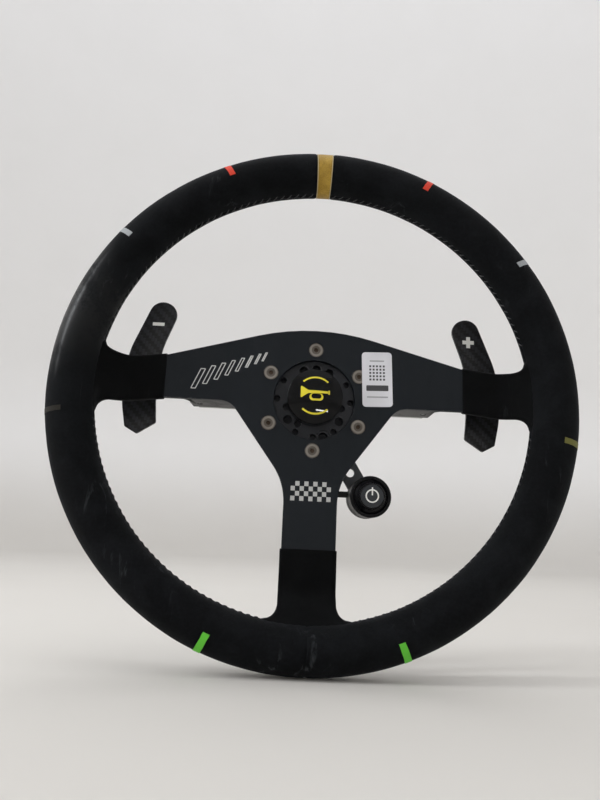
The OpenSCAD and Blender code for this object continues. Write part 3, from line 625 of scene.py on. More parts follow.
RIM_SUEDE = suede("rim suede", (0.0015, 0.0019, 0.0024), (0.0062, 0.0070, 0.0084), 0.75, 1.0)
WRAP_SUEDE = suede("spoke suede", (0.0009, 0.0010, 0.0012), (0.0028, 0.0030, 0.0034), 0.25, 0.0)
PLATE = anodised("grey anodised plate", (0.0066, 0.0094, 0.0128), 0.52, rubbed=(0.10, 0.105, 0.11), wear=0.7,
                 dusty=0.12)
BLACK_ALU = anodised("black anodised", (0.0062, 0.0067, 0.0076), 0.42, dusty=0.12)
# Lighter than the other dark anodising: painted light on the shaded, recessed hub face.
HUB_ALU_PAINTED_LIGHT = anodised("hub anodised with painted light", (0.030, 0.0315, 0.036), 0.5, dusty=0.15)
LEVER_ALU = anodised("grey anodised lever", (0.07, 0.07, 0.075), 0.38)
SILVER = bare_metal("silver anodised", (0.56, 0.56, 0.545), 0.34, rings=True, stained=0.12)
# Grey anodised arm, made lighter still as painted light, since the arm sits in shade.
POD_ARM_ALU_PAINTED_LIGHT = anodised("pod arm anodised with painted light", (0.085, 0.09, 0.098), 0.45, dusty=0.15)
CARRIER_ALU = bare_metal("mill aluminium", (0.50, 0.50, 0.485), 0.40, stained=0.15)
HOOP_ALU = bare_metal("hoop aluminium", (0.5, 0.5, 0.5), 0.45)
SCREW_STEEL = bare_metal("dull screw steel", (0.13, 0.116, 0.10), 0.42, stained=0.55)
# Brighter steel for the turned ring on each screw head: a painted highlight.
SCREW_RIM_HIGHLIGHT = bare_metal("screw rim painted highlight", (0.26, 0.24, 0.215), 0.38, stained=0.45)
# Dark rust-tinted steel for the socket floors, mostly painted shade in the sockets.
SOCKET_SHADE_RUST = bare_metal("rusty socket painted shade", (0.09, 0.065, 0.05), 0.6, stained=0.6)
DARK_STEEL = bare_metal("blackened steel", (0.07, 0.068, 0.066), 0.40, stained=0.3)
BRIGHT_STEEL = bare_metal("bright steel", (0.62, 0.62, 0.62), 0.18, stained=0.15)
NICKEL = bare_metal("nickel plate", (0.66, 0.64, 0.60), 0.14, stained=0.1)
BRASS = bare_metal("contact brass", (0.72, 0.50, 0.20), 0.25, stained=0.3)
FOAM = moulded("rim foam", (0.06, 0.06, 0.06), 0.85, scale=900.0, depth=0.0003)
BLACK_PLASTIC = moulded("black plastic", (0.008, 0.008, 0.009), 0.42, dusty=0.15)
POD_PLASTIC = moulded("satin black plastic", (0.0025, 0.0025, 0.0032), 0.22, dusty=0.04, shine=0.16)
CUP_PLASTIC = moulded("cup plastic", (0.012, 0.0115, 0.0105), 0.45, dusty=0.12, shine=0.3)
GREY_PLASTIC = moulded("dark grey plastic", (0.027, 0.030, 0.034), 0.34, dusty=0.06, shine=0.3)
BEIGE_PLASTIC = moulded("plunger plastic", (0.45, 0.36, 0.24), 0.45)
BOARD = moulded("circuit board", (0.012, 0.09, 0.025), 0.4, scale=700.0)
RUBBER = moulded("black rubber", (0.006, 0.006, 0.006), 0.62, scale=1200.0, dusty=0.12)
CARBON = carbon_fibre()
RESIN = gloss_resin()
LEATHER = band_leather()
THREAD = sewing_thread()
EDGE_PAINT = printed("pale band edge", (0.50, 0.42, 0.24), 0.6)
PAPER = moulded("label film", (0.74, 0.74, 0.78), 0.38, scale=500.0, depth=0.00003, dusty=0.12)
LABEL_INK = printed("label ink", (0.05, 0.05, 0.055), 0.5)
FAINT_INK = printed("faint label ink", (0.35, 0.35, 0.37), 0.5)
YELLOW = printed("yellow print", (0.80, 0.68, 0.03), 0.22)
SILVER_PRINT = printed("silver print", (0.50, 0.50, 0.49), 0.42)
BRIGHT_PRINT = printed("bright silver print", (0.62, 0.62, 0.61), 0.42)
WHITE_PRINT = printed("white print", (0.78, 0.78, 0.74), 0.4)
RED_TAPE = cloth_tape("red tape", (0.72, 0.05, 0.02))
GREY_TAPE = cloth_tape("grey tape", (0.40, 0.42, 0.435))
OLIVE_TAPE = cloth_tape("olive tape", (0.17, 0.165, 0.04))
TAN_TAPE = cloth_tape("tan tape", (0.014, 0.012, 0.007))
GREEN_TAPE = cloth_tape("green tape", (0.16, 0.70, 0.06))

# ---------------------------------------------------------------- Rim

# The seam runs round the inner side of the rim; stitches follow each other by a pitch in degrees of the wheel.
SEAM = 180
STITCH_PITCH = 2.0
THREAD_R = 0.34
ALONG_STITCH = [k / 6 * 2 - 1 for k in range(7)]


def peak(distance, width):
    """1 at no distance, and fading to nothing over a width."""
    return math.exp(-(distance / width) ** 2)


def rim_point(angle, turn, r):
    """A point of the grip: angle round the wheel, turn round the section (0 outside, 90 to the driver)."""
    side = polar(turn, r)
    out = polar(angle, RIM_R + side.x)
    return Vector((out.x, out.y, RIM_Z + side.y))


def grip_surface(angle, turn):
    """Radius of the suede: a little uneven, drawn into the seam and pinched by each stitch."""
    place = rim_point(angle, turn, GRIP_R)
    uneven = 0.13 * noise.noise(place * 0.045) + 0.05 * noise.noise(place * 0.16)
    groove = 0.75 * peak(turn - SEAM, 2.6)
    pinch = 0.16 * math.cos(2 * math.pi * angle / STITCH_PITCH) * peak(turn - SEAM, 13)
    return GRIP_R - 0.12 + uneven - groove + pinch


def section_turns():
    """Turns round the section, close together at the seam."""
    near = [0, 1.3, 2.6, 4.2, 6.5, 9.5, 13]
    far = list(range(18, 180, 6))
    return [SEAM - d for d in reversed(near + far)] + [SEAM + d for d in (near + far)[1:]]


def shell(form, outside, inside):
    """Skins the rows of an outer and an inner side, and closes the gap between them at both ends."""
    for rows in (outside, inside, [outside[0], inside[0]], [outside[-1], inside[-1]]):
        form.skin(rows)


def rim_cover(name, node, start, end):
    """Suede cover of half the rim, from one angle to another, as a sewn sleeve of real thickness."""
    form = Form()
    turns = section_turns()
    rows_in_stitch, coarse = 4, 36
    count = round((end - start) / STITCH_PITCH * rows_in_stitch)
    outside = []
    for i in range(count + 1):
        angle = start + (end - start) * i / count
        to_end = min(angle - start, end - angle) * math.radians(1) * RIM_R
        tuck = 0.55 * peak(to_end, 0.9)
        outside.append(form.row([rim_point(angle, t, grip_surface(angle, t) - tuck) for t in turns]))
    inside = [form.row([rim_point(start + (end - start) * i / coarse, t, GRIP_R - SUEDE_T) for t in turns])
              for i in range(coarse + 1)]
    shell(form, outside, inside)
    return mesh_piece(name, form, "wheel", RIM_SUEDE, "suede", (node,), sharp=50)


def seam_thread(name, start, end, blocked):
    """Cross stitches that close the cover round the inner side of the rim, but for the blocked angles."""
    form = Form()
    half_turn, half_way = 8.5, 0.32 * STITCH_PITCH
    count = round((end - start) / STITCH_PITCH)
    for i in range(count):
        angle = start + (i + 0.5) * STITCH_PITCH
        if any(abs((angle - at + 180) % 360 - 180) < reach for at, reach in blocked):
            continue
        base = grip_surface(angle, SEAM - half_turn)
        path = [rim_point(angle + f * half_way, SEAM + f * half_turn, base + 0.28 * (1 - f * f) - 0.55 * f ** 8)
                for f in ALONG_STITCH]
        tube(form, path, THREAD_R, 6)
    mesh_piece(name, form, "wheel", THREAD, "suede")


def blocked_angles():
    """Angles where a spoke meets the rim, with half their width and a margin for the fillets."""
    margin = 5
    side = math.degrees(math.asin((WRAP_HIGH.y + WRAP_LOW.y) / 2 / RIM_IN))
    side_half = math.degrees((WRAP_HIGH.y - WRAP_LOW.y) / 2 / RIM_IN) + margin
    foot_half = math.degrees(FOOT_HIGH.x / RIM_IN) + margin
    return [(side, side_half), (180 - side, side_half), (FOOT, foot_half)]


def marker_band():
    """Ochre leather band at the crest, a little lower than the suede, with rolled pale edges."""
    form = Form()
    turns = [360 * i / 72 for i in range(72)]
    across = 16

    def surface(f, turn):
        dip = 0.32 + 0.5 * abs(f) ** 10
        return GRIP_R - dip + 0.05 * noise.noise(rim_point(CREST + f, turn, GRIP_R) * 0.4)

    outer = [form.row([rim_point(CREST + f * BAND_HALF, t, surface(f, t)) for t in turns])
             for f in (i / across * 2 - 1 for i in range(across + 1))]
    inner = [form.row([rim_point(CREST + f * BAND_HALF, t, GRIP_R - SUEDE_T) for t in turns]) for f in (-1, 1)]
    shell(form, outer, inner)
    mesh_piece("marker_band_leather", form, "wheel", LEATHER, "ochre_leather", ("marker_band",))
    edges = Form()
    bead_r, bead_in = 0.28, 0.34
    for s in (-1, 1):
        angle = CREST + s * (BAND_HALF - 0.12)
        tube(edges, [rim_point(angle, t, GRIP_R - bead_in) for t in turns], bead_r, 8, closed=True)
    mesh_piece("marker_band_edges", edges, "wheel", EDGE_PAINT, "ochre_leather", ("marker_band",))


def rim_tape(name, at, width, to_turn, finish, lean):
    """A short strip of tape over the grip at an angle, cut by hand, with a slight lift at its ends."""
    form = Form()
    long_steps, wide_steps = 22, 6
    from_turn = 10
    lift, sunk = 0.16, 0.1
    top, under = [], []
    for i in range(long_steps + 1):
        f = i / long_steps
        turn = from_turn + (to_turn - from_turn) * f
        ends = 0.18 * (2 * abs(f - 0.5)) ** 8
        middle = at + lean * (f - 0.5)
        rag = 0.16 * noise.noise(Vector((at, f * 7, 0)))
        angles = [middle + (w / wide_steps - 0.5) * (width + rag) for w in range(wide_steps + 1)]
        base = [grip_surface(a, turn) for a in angles]
        top.append([rim_point(a, turn, b + lift + ends) for a, b in zip(angles, base)])
        under.append([rim_point(a, turn, b - sunk) for a, b in zip(angles, base)])
    loops = [form.row(t + u[::-1]) for t, u in zip(top, under)]
    form.skin(loops)
    form.cap(loops[0])
    form.cap(loops[-1])
    mesh_piece(name, form, "wheel", finish, "tape", ("grip_tapes",), sharp=60)


# ---------------------------------------------------------------- Spoke wraps

# An arm of the plate steps forward to the middle of the rim, and the two side arms fall outwards by ARM_FALL.
ARM_RISE_END = RIM_IN - 1
ARM_RISE_START = ARM_RISE_END - 16
WRAP_T = 0.9
WRAP_HALF_T = (PLATE_Z - WRAP_LOW.z + WRAP_T) / 2
ARM_Z = PLATE_Z + WRAP_T - WRAP_HALF_T
ARM_FALL = 0.11
WRAP_PITCH = 4.5


def arm_rise(x):
    """How far the arm has stepped forward at a distance from the axis, with its two bends rounded."""
    bend = 1.3
    height = RIM_Z - PLATE_Z

    def ramp(at):
        t = (x - at) / bend
        return bend * (t if t > 30 else math.log1p(math.exp(t)))

    return height * (ramp(ARM_RISE_START) - ramp(ARM_RISE_END)) / (ARM_RISE_END - ARM_RISE_START)


def flare(x, end, r, squash=1.0):
    """Rise of a quarter round that leaves the arm and meets the rim at end."""
    d = clamp(x - (end - r), 0, r)
    return (r - math.sqrt(r * r - d * d)) * squash


def section_outline(low, high, back, front, r, seam):
    """Rounded section of a wrap as (across, z) points; the back is close-set round its seam."""
    corner_steps = 6
    points = []
    corners = [(high - r, front - r, 0), (low + r, front - r, 90), (low + r, back + r, 180),
               (high - r, back + r, 270)]
    for b, z, start in corners:
        for k in range(corner_steps + 1):
            side = polar(start + 90 * k / corner_steps, r)
            points.append((b + side.x, z + side.y))
        if start == 0:
            points += [(high - r + (low - high + 2 * r) * f / 12, front) for f in range(1, 12)]
        elif start == 90:
            points += [(low, front - r + (back - front + 2 * r) * f / 3) for f in range(1, 3)]
        elif start == 180:
            middle = (low + high) / 2
            reach = (high - low) / 2 - r
            marks = [-0.75 * reach, -0.5 * reach, -0.28 * reach, -2.4, -1.1, -0.45, 0]
            marks += [-m for m in reversed(marks[:-1])]
            for m in marks:
                points.append((middle + m, back + seam * peak(m, 0.8)))
        else:
            points += [(high, back + r + (front - back - 2 * r) * f / 3) for f in range(1, 3)]
    return points


def spoke_wrap(name, node, start, low, high, place, top_r, low_r, fall=0.0, squash=1.0):
    """Suede sleeve over a spoke: a cut edge at the plate, and soft fillets where it runs into the rim."""
    form = Form()
    fillet, back_end, front_end = 6, RIM_IN + 4.6, RIM_IN + 2.2
    stations = [(start, 1.0), (start, 0.35), (start + 0.35, 0.05), (start + 1.0, 0)]
    x = start + 2
    while x < RIM_IN + 7:
        stations.append((x, 0))
        x += 1.6 if x < RIM_IN - 16 else 0.7
    rows = []
    for x, tuck in stations:
        middle = ARM_Z + arm_rise(x)
        drop = fall * (x - start)
        b0 = low - drop + tuck - flare(x, RIM_IN, low_r)
        b1 = high - drop - tuck + flare(x, RIM_IN, top_r, squash)
        z0 = middle - WRAP_HALF_T + tuck - flare(x, back_end, fillet)
        z1 = middle + WRAP_HALF_T - tuck + flare(x, front_end, fillet)
        r = min(2.0 - tuck + flare(x, front_end, 5), (z1 - z0) / 2 - 0.2)
        curved = smooth((x - start) / (RIM_IN - 14 - start))
        pinch = 0.5 + 0.25 * math.cos(2 * math.pi * (x - start) / WRAP_PITCH)
        ring = []
        for b, z in section_outline(b0, b1, z0, z1, r, pinch):
            along = x - curved * (x - math.sqrt(max(x * x - b * b, 1)))
            point = Vector((along, b, z))
            fold = 0.16 * noise.noise(Vector((along * 0.09, b * 0.22, z * 0.2)))
            side = Vector((0, b - (b0 + b1) / 2, (z - (z0 + z1) / 2) * 3)).normalized()
            ring.append(place(point + side * fold))
        rows.append(form.row(ring))
    form.skin(rows)
    form.cap(rows[0])
    form.cap(rows[-1])
    mesh_piece(name, form, "wheel", WRAP_SUEDE, "wrap_suede", (node,), sharp=60)
    thread = Form()
    for k in range(int((ARM_RISE_START + 6 - start) / WRAP_PITCH)):
        x = start + 3.4 + WRAP_PITCH * k
        back = ARM_Z + arm_rise(x) - WRAP_HALF_T
        seam = (low + high) / 2 - fall * (x - start)
        for s in (-1, 1):
            path = [Vector((x + s * f * 1.3, seam + f * 2.3, back - 0.22 * (1 - f * f) + 0.6 * f ** 8))
                    for f in ALONG_STITCH]
            tube(thread, [place(p) for p in path], THREAD_R, 6)
    mesh_piece(name + "_stitches", thread, "wheel", THREAD, "wrap_suede")


SIDE_LOW = WRAP_LOW.y + ARM_FALL * (WRAP_HIGH.x - WRAP_LOW.x)


def to_right(p):
    return p


def to_left(p):
    return Vector((-p.x, p.y, p.z))


def to_foot(p):
    return Vector((p.y, -p.x, p.z))


# ---------------------------------------------------------------- Flat marks


def filled(outlines, thickness, base, cell=None, rise=None):
    """A flat form from closed outlines, holes included; it may be laid over a curved face by rise(x, y)."""
    curve = bpy.data.curves.new("outline", "CURVE")
    curve.dimensions = "2D"
    curve.fill_mode = "BOTH"
    curve.extrude = thickness / 2
    for outline in outlines:
        spline = curve.splines.new("POLY")
        spline.points.add(len(outline) - 1)
        for point, place in zip(spline.points, outline):
            point.co = (place[0], place[1], 0, 1)
        spline.use_cyclic_u = True
    holder = bpy.data.objects.new("outline", curve)
    mesh = bpy.data.meshes.new_from_object(holder)
    work = bmesh.new()
    work.from_mesh(mesh)
    bmesh.ops.remove_doubles(work, verts=work.verts, dist=1e-4)
    if cell:
        low = [min(v.co[a] for v in work.verts) for a in (0, 1)]
        high = [max(v.co[a] for v in work.verts) for a in (0, 1)]
        for axis in (0, 1):
            cut = low[axis] + cell
            while cut < high[axis]:
                normal = Vector((1, 0, 0)) if axis == 0 else Vector((0, 1, 0))
                geometry = work.verts[:] + work.edges[:] + work.faces[:]
                bmesh.ops.bisect_plane(work, geom=geometry, plane_co=normal * cut, plane_no=normal)
                cut += cell
    form = Form()
    for x, y, z in (v.co for v in work.verts):
        form.points.append(Vector((x, y, base + z + (rise(x, y) if rise else 0))))
    form.faces = [tuple(v.index for v in f.verts) for f in work.faces]
    work.free()
    bpy.data.objects.remove(holder)
    bpy.data.curves.remove(curve)
    bpy.data.meshes.remove(mesh)
    return form


def moved(points, by=(0, 0), turn=0.0):
    """Points turned by an angle and then moved."""
    spin = Matrix.Rotation(math.radians(turn), 2)
    return [spin @ Vector(p[:2]) + Vector(by) for p in points]


def block(x0, y0, x1, y1, r=0.0):
    """A rectangle with its corners rounded."""
    return eased([(x0, y0, r), (x1, y0, r), (x1, y1, r), (x0, y1, r)], 5, closed=True)


def inset(outline, width):
    """A smaller copy of an outline, a width inside it."""
    middle = sum(outline, Vector((0, 0))) / len(outline)
    inner = []
    count = len(outline)
    for i in range(count):
        here = outline[i]
        a = (outline[(i + 1) % count] - here).normalized()
        b = (outline[i - 1] - here).normalized()
        way = a + b
        if way.length < 1e-3:
            way = Vector((-a.y, a.x))
        way.normalize()
        if way.dot(middle - here) < 0:
            way = -way
        half = math.acos(clamp(a.dot(b), -1, 1)) / 2
        inner.append(here + way * width / max(math.sin(half), 0.3))
    return inner


def speed_stripes():
    """Leaning outlined stripes on the left spoke that shrink towards the hub."""
    form = Form()
    start, reach = Vector((-84.5, 3.5)), Vector((47, 21.5))
    count = 8
    sunk, proud = -0.01, 0.07
    for i in range(count):
        f = i / (count - 1)
        size = 1 - 0.55 * f
        at = start + reach * (1 - (1 - f) ** 1.15)
        high, wide, lean = 14.5 * size, 3.7 * size, 6.2 * size
        corners = [(x, y, 0.5 * size) for x, y in ((0, 0), (wide, 0), (wide + lean, high), (lean, high))]
        outer = [p + at for p in eased(corners, 3, closed=True)]
        inner = inset(outer, 0.62 if i < 5 else 0.4 * wide)
        ring = [form.row([(p.x, p.y, PLATE_Z + z) for p in edge])
                for edge, z in ((outer, sunk), (outer, proud), (inner, proud), (inner, sunk))]
        form.skin(ring + ring[:1])
    mesh_piece("spoke_stripes", form, "wheel", BRIGHT_PRINT, "plate_anodised", sharp=60)


def chequer_strip():
    """Chequered strip across the bottom spoke."""
    columns, rows = 9, 4
    x0, x1, y0, y1 = -13.4, 13.4, -68.6, -55.6
    wide, high = (x1 - x0) / columns, (y1 - y0) / rows
    gap = 0.09
    outlines = []
    for i in range(columns):
        for j in range(rows):
            if (i + j) % 2 == 0:
                x, y = x0 + i * wide, y0 + j * high
                outlines.append(block(x + gap, y + gap, x + wide - gap, y + high - gap))
    form = filled(outlines, 0.08, PLATE_Z + 0.03)
    mesh_piece("spoke_chequers", form, "wheel", SILVER_PRINT, "plate_anodised")


def socket_floors():
    """Dark rust-tinted floors in the hexagon sockets of the plate's six screws, mostly painted shade, and a bright
    turned ring on each head, a painted highlight.
    """
    head_r, socket_r = 5, 1.66
    floor_low, floor_high = -2.2, -0.9
    bead = [(3.0, -0.02), (3.25, 0.09), (3.75, 0.12), (4.35, 0.06), (4.5, -0.02)]
    low, high = flat_box("plate_screws")
    reach = (high.y - low.y) / 2 - head_r
    floors, rings = Form(), Form()
    for i in range(6):
        centre = polar(CREST + 60 * i, reach)
        levels = [floors.row(hoop(centre, socket_r, high.z + z, 6)) for z in (floor_low, floor_high)]
        floors.skin(levels)
        floors.cap(levels[0])
        floors.cap(levels[1])
        hoops = [rings.row(hoop(centre, r, high.z + z, 36)) for r, z in bead]
        rings.skin(hoops + hoops[:1])
    mesh_piece("screw_socket_shade_floors", floors, "wheel", SOCKET_SHADE_RUST, "screw_steel", sharp=30)
    # The rings carry a painted highlight; the socket floors carry painted shade.
    mesh_piece("screw_head_highlight_rings", rings, "wheel", SCREW_RIM_HIGHLIGHT, "screw_steel", sharp=30)


# ---------------------------------------------------------------- Label


def asset_label():
    """Blank white label on the right spoke, with one corner lifting, and plain grey print."""
    middle = centre_of("plate_label")
    tilt = 2
    half_x, half_y, r = 10.4, 19.3, 2.5
    cell = 1.4

    def lift(x, y):
        away = (Vector((x, y)) - Vector((middle.x + half_x, middle.y - half_y))).length
        return 0.55 * smooth(1 - away / 7) + 0.03 * noise.noise(Vector((x, y, 0)) * 0.3)

    card = moved(block(-half_x, -half_y, half_x, half_y, r), (middle.x, middle.y), tilt)
    form = filled([card], 0.14, PLATE_Z + 0.09, cell=cell, rise=lift)
    mesh_piece("label_card", form, "wheel", PAPER, "label_film", ("plate_label",))

    def ink(name, shapes, finish):
        placed_shapes = [moved(s, (middle.x, middle.y), tilt) for s in shapes]
        made = filled(placed_shapes, 0.03, PLATE_Z + 0.165, cell=cell, rise=lift)
        mesh_piece(name, made, "wheel", finish, "label_film")

    squares = []
    size, pitch, count = 1.35, 2.35, 5
    for i in range(count):
        for j in range(count):
            x = (i - (count - 1) / 2) * pitch
            y = 4.6 + (j - (count - 1) / 2) * pitch
            squares.append(block(x - size / 2, y - size / 2, x + size / 2, y + size / 2))
    ink("label_grid", squares, LABEL_INK)
    ink("label_bar", [block(-7.6, -8.2, 7.6, -4.2, 0.6)], LABEL_INK)
    ink("label_lines", [block(-5.0, 12.6, 5.0, 13.5, 0.3), block(-7.2, -12.9, 7.2, -12.0, 0.3)], FAINT_INK)


# ---------------------------------------------------------------- Horn

HORN_LOW, HORN_HIGH = flat_box("horn_cap")
HORN_R = HORN_HIGH.x
HORN_RISE = 4.8
HORN_EDGE = HORN_HIGH.z - HORN_RISE
DOME_R = (HORN_R ** 2 + HORN_RISE ** 2) / (2 * HORN_RISE)


def dome_height(x, y):
    """Height of the horn's dome above its edge."""
    return math.sqrt(max(DOME_R ** 2 - x * x - y * y, 0)) - (DOME_R - HORN_RISE)


def horn_button():
    """Domed horn button: gloss dome with a turned lip, skirt, and the guide tube inside it."""
    skirt_z = flat_box("hub")[1].z + 2.5
    wall = 2
    roof = HORN_EDGE - wall
    guide_r, guide_lip = 13.8, 14.4
    rings = 22
    reach = [HORN_R * 0.97 * i / rings for i in range(rings + 1)]
    dome = [(r, HORN_EDGE + dome_height(r, 0)) for r in reach]
    edge = [(HORN_R - 0.22, HORN_EDGE + 0.20), (HORN_R - 0.06, HORN_EDGE - 0.10), (HORN_R, HORN_EDGE - 0.5)]
    skirt = [(HORN_R, skirt_z + 0.4), (HORN_R - 0.4, skirt_z), (HORN_R - wall + 0.3, skirt_z),
             (HORN_R - wall, skirt_z + 0.3), (HORN_R - wall, roof), (guide_r, roof)]
    guide = [(guide_r, HORN_LOW.z + wall), (guide_lip, HORN_LOW.z + wall - 0.2), (guide_lip, HORN_LOW.z),
             (guide_r - wall, HORN_LOW.z), (guide_r - wall, roof), (0, roof)]
    form = lathe(dome + edge + skirt + guide, steps=144)
    mesh_piece("horn_dome", form, "horn_button", RESIN, "horn_gloss", ("horn_cap",), sharp=50)


def bugle():
    """A plain bugle sign, by parts: bell with its tube, mouthpiece and loop."""
    bell = eased([(-9.4, 4.3, 0.3), (-8.6, 4.3, 0.3), (-4.4, 1.55, 2.4), (8.6, 1.25, 0.2), (8.6, -0.25, 0.2),
                  (-4.4, -0.55, 2.4), (-8.6, -3.3, 0.3), (-9.4, -3.3, 0.3)], 4, closed=True)
    mouth = block(8.8, -0.9, 9.9, 1.9, 0.3)
    loop = [block(-3.6, -5.4, 5.6, -0.6, 2.3), block(-2.3, -4.1, 4.3, -0.75, 1.6)]
    return [("bell", [bell]), ("mouthpiece", [mouth]), ("loop", loop)]


def horn_sign():
    """Yellow bugle and two thin arcs printed over the dome."""
    by = (-0.4, 1.6)
    half, outer_r, inner_r = 42, 12.9, 11.7
    arcs = []
    for middle in (90, 270):
        turns = [half * (i / 14 - 1) for i in range(29)]
        arcs.append([polar(middle + t, outer_r) for t in turns] + [polar(middle - t, inner_r) for t in turns])
    signs = [(name, [moved(s, by) for s in shapes]) for name, shapes in bugle()] + [("arcs", arcs)]
    for name, shapes in signs:
        form = filled(shapes, 0.10, HORN_EDGE + 0.02, cell=0.9, rise=dome_height)
        mesh_piece("horn_sign_" + name, form, "horn_button", YELLOW, "horn_gloss", sharp=60)


# ---------------------------------------------------------------- Springs and cable


def coil_spring(node, wire, turns):
    """A coil spring between its node's two ends, with closed end turns."""
    low, high = flat_box(node)
    middle = (low + high) / 2
    r = (high.x - low.x) / 2 - wire / 2
    length = high.z - low.z
    steps = 30
    closed, flat_share = 0.7, 0.2
    path = []
    for i in range(int(turns * steps) + 1):
        t = i / steps
        even = clamp((t - closed) / (turns - 2 * closed))
        rise = (1 - flat_share) * even + flat_share * (t / turns)
        side = polar(360 * t, r)
        path.append((middle.x + side.x, middle.y + side.y, low.z + wire / 2 + (length - wire) * rise))
    form = Form()
    tube(form, path, wire / 2, 12)
    body = frame["nodes"][node]["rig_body"]
    piece = mesh_piece(node + "_wire", form, body, BRIGHT_STEEL, "spring_steel", (node,))
    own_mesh(piece)
    return piece


def pod_lead():
    """Lead from the pod's gland, behind the bottom spoke and into the hub's waist."""
    gland = flat_box("pod_gland")[0]
    middle = centre_of("pod_gland")
    waist, lead_r = -24, 1.4
    route = [(gland.x, middle.y), (15, middle.y), (6, -60), (0, -52), (-1, -42), (0, -33), (0, waist)]
    path = curve_through([(x, y, middle.z) for x, y in route], 12)
    form = Form()
    tube(form, path, lead_r, 16)
    mesh_piece("pod_lead", form, "wheel", RUBBER, "cable_rubber", ("pod_cable",))


# ---------------------------------------------------------------- Button pod

POD = centre_of("pod_body")
POD_LOW, POD_HIGH = flat_box("pod_body")
BEZEL_LOW, BEZEL_HIGH = flat_box("pod_bezel")
BUTTON_LOW, BUTTON_HIGH = flat_box("pod_button")
POD_R = POD_HIGH.x - POD.x
FACE_R = 7.5


def pod_lathe(corners, closed=True, steps=4):
    """A form turned round the pod's axis, from (r, z, radius) corners."""
    return lathe([tuple(p) for p in eased(corners, steps, closed)], (POD.x, POD.y))


def pod_housing():
    """Pod cup with three grip grooves, a chamfered foot and a hole for its screw."""
    wall, floor, hole = 1.45, 2, 2
    deep, pitch = 0.45, 3.2
    z0, z1 = POD_LOW.z, POD_HIGH.z
    grooves = []
    for i in range(3):
        z = z0 + 6 + pitch * i
        grooves += [(POD_R, z - 0.8, 0), (POD_R - deep, z - 0.4, 0.1), (POD_R - deep, z + 0.4, 0.1),
                    (POD_R, z + 0.8, 0)]
    corners = [(hole, z0, 0.2), (POD_R, z0, 0.8)] + grooves + [(POD_R, z1, 0.2), (POD_R - wall, z1, 0.2)]
    corners += [(POD_R - wall, z0 + floor, 0.6), (hole, z0 + floor, 0.2)]
    mesh_piece("pod_cup", pod_lathe(corners), "wheel", CUP_PLASTIC, "black_plastic", ("pod_body",), sharp=35)


def pod_ring():
    """Bezel with a rounded outer edge and a sloping inner face."""
    r, inner = BEZEL_HIGH.x - POD.x, 10.9
    z0, z1 = BEZEL_LOW.z, BEZEL_HIGH.z
    corners = [(inner, z0, 0.1), (r, z0, 0.25), (r, z1, 0.9), (inner + 0.5, z1, 0.3), (inner, z1 - 0.5, 0.15)]
    mesh_piece("pod_bezel_ring", pod_lathe(corners), "wheel", POD_PLASTIC, "black_plastic", ("pod_bezel",), sharp=35)


def pod_push():
    """Push button: lip, skirt, a cone with a soft step, and a glazed face in a raised ring."""
    skirt_r, lip_r, lip_t = 10.8, 11.55, 1.5
    low, top = BUTTON_LOW.z, BUTTON_HIGH.z
    high, seat = BEZEL_HIGH.z, top - 0.6
    corners = [(0, low, 0), (lip_r, low, 0.2), (lip_r, low + lip_t, 0.2), (skirt_r, low + lip_t, 0.1),
               (skirt_r, high, 0.35), (FACE_R + 1.35, high + 2.4, 0.8), (FACE_R + 0.75, top, 0.55),
               (FACE_R, top, 0.15), (FACE_R, seat, 0.05), (0, seat, 0)]
    form = pod_lathe(corners, closed=False, steps=5)
    mesh_piece("pod_push_cone", form, "pod_push_button", POD_PLASTIC, "black_plastic", ("pod_button",), sharp=35)
    rings = 10
    crown, edge_r, edge_z = 0.45, FACE_R - 0.05, top - 0.3
    disc = [(0, seat), (edge_r, seat)]
    disc += [(edge_r * f, edge_z + crown * (1 - f ** 2)) for f in (1 - i / rings for i in range(rings + 1))]
    form = lathe(disc, (POD.x, POD.y))
    mesh_piece("pod_face_glazed", form, "pod_push_button", GREY_PLASTIC, "grey_plastic", ("pod_face",), sharp=35)

    def rise(x, y):
        away = (Vector((x, y)) - Vector((POD.x, POD.y))).length / FACE_R
        return crown * (1 - away * away)

    ring = [hoop(POD, r, 0, 48) for r in (4.4, 3.5)]
    bar = moved(block(-0.45, 0.4, 0.45, 5.6, 0.2), POD.xy)
    for name, shapes in (("pod_sign_ring", ring), ("pod_sign_bar", [bar])):
        form = filled(shapes, 0.08, top - 0.28, cell=0.8, rise=rise)
        mesh_piece(name, form, "pod_push_button", WHITE_PRINT, "grey_plastic", sharp=60)


# ---------------------------------------------------------------- Paddles


def paddle_signs():
    """Minus on the left paddle and plus on the right one."""
    front = flat_box("paddle_right")[1].z
    arm, half = 4.3, 1.45
    minus = block(-arm, -1.25, arm, 1.25, 0.2)
    corner = [Vector((arm, -half)), Vector((arm, half)), Vector((half, half))]
    plus = [p for turn in (180, 270, 0, 90) for p in moved(corner, turn=turn)]
    for centre, shape, body, name in (((-115.5, 57.4), minus, "paddle_lever_left", "paddle_minus"),
                                      ((114.7, 55.7), plus, "paddle_lever_right", "paddle_plus")):
        form = filled([moved(shape, centre)], 0.08, front + 0.03)
        mesh_piece(name, form, body, WHITE_PRINT, "carbon")


# ---------------------------------------------------------------- Small parts kept from the frame


def finish_node(node, finish):
    """Gives a CAD node that stays as it is its finish."""
    mesh = frame["nodes"][node].data
    if not mesh.materials:
        mesh.materials.append(finish)
    for i in range(len(mesh.materials)):
        mesh.materials[i] = finish


# ---------------------------------------------------------------- Assembly

BAND_LEFT, BAND_RIGHT = CREST + BAND_HALF, CREST - BAND_HALF
for cover in (rim_cover("rim_cover_left", "suede_left", BAND_LEFT, FOOT),
              rim_cover("rim_cover_right", "suede_right", FOOT - 360, BAND_RIGHT)):
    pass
seam_thread("seam_stitches_left", BAND_LEFT + 0.6, FOOT, blocked_angles())
seam_thread("seam_stitches_right", FOOT - 360, BAND_RIGHT - 0.6, blocked_angles())
marker_band()

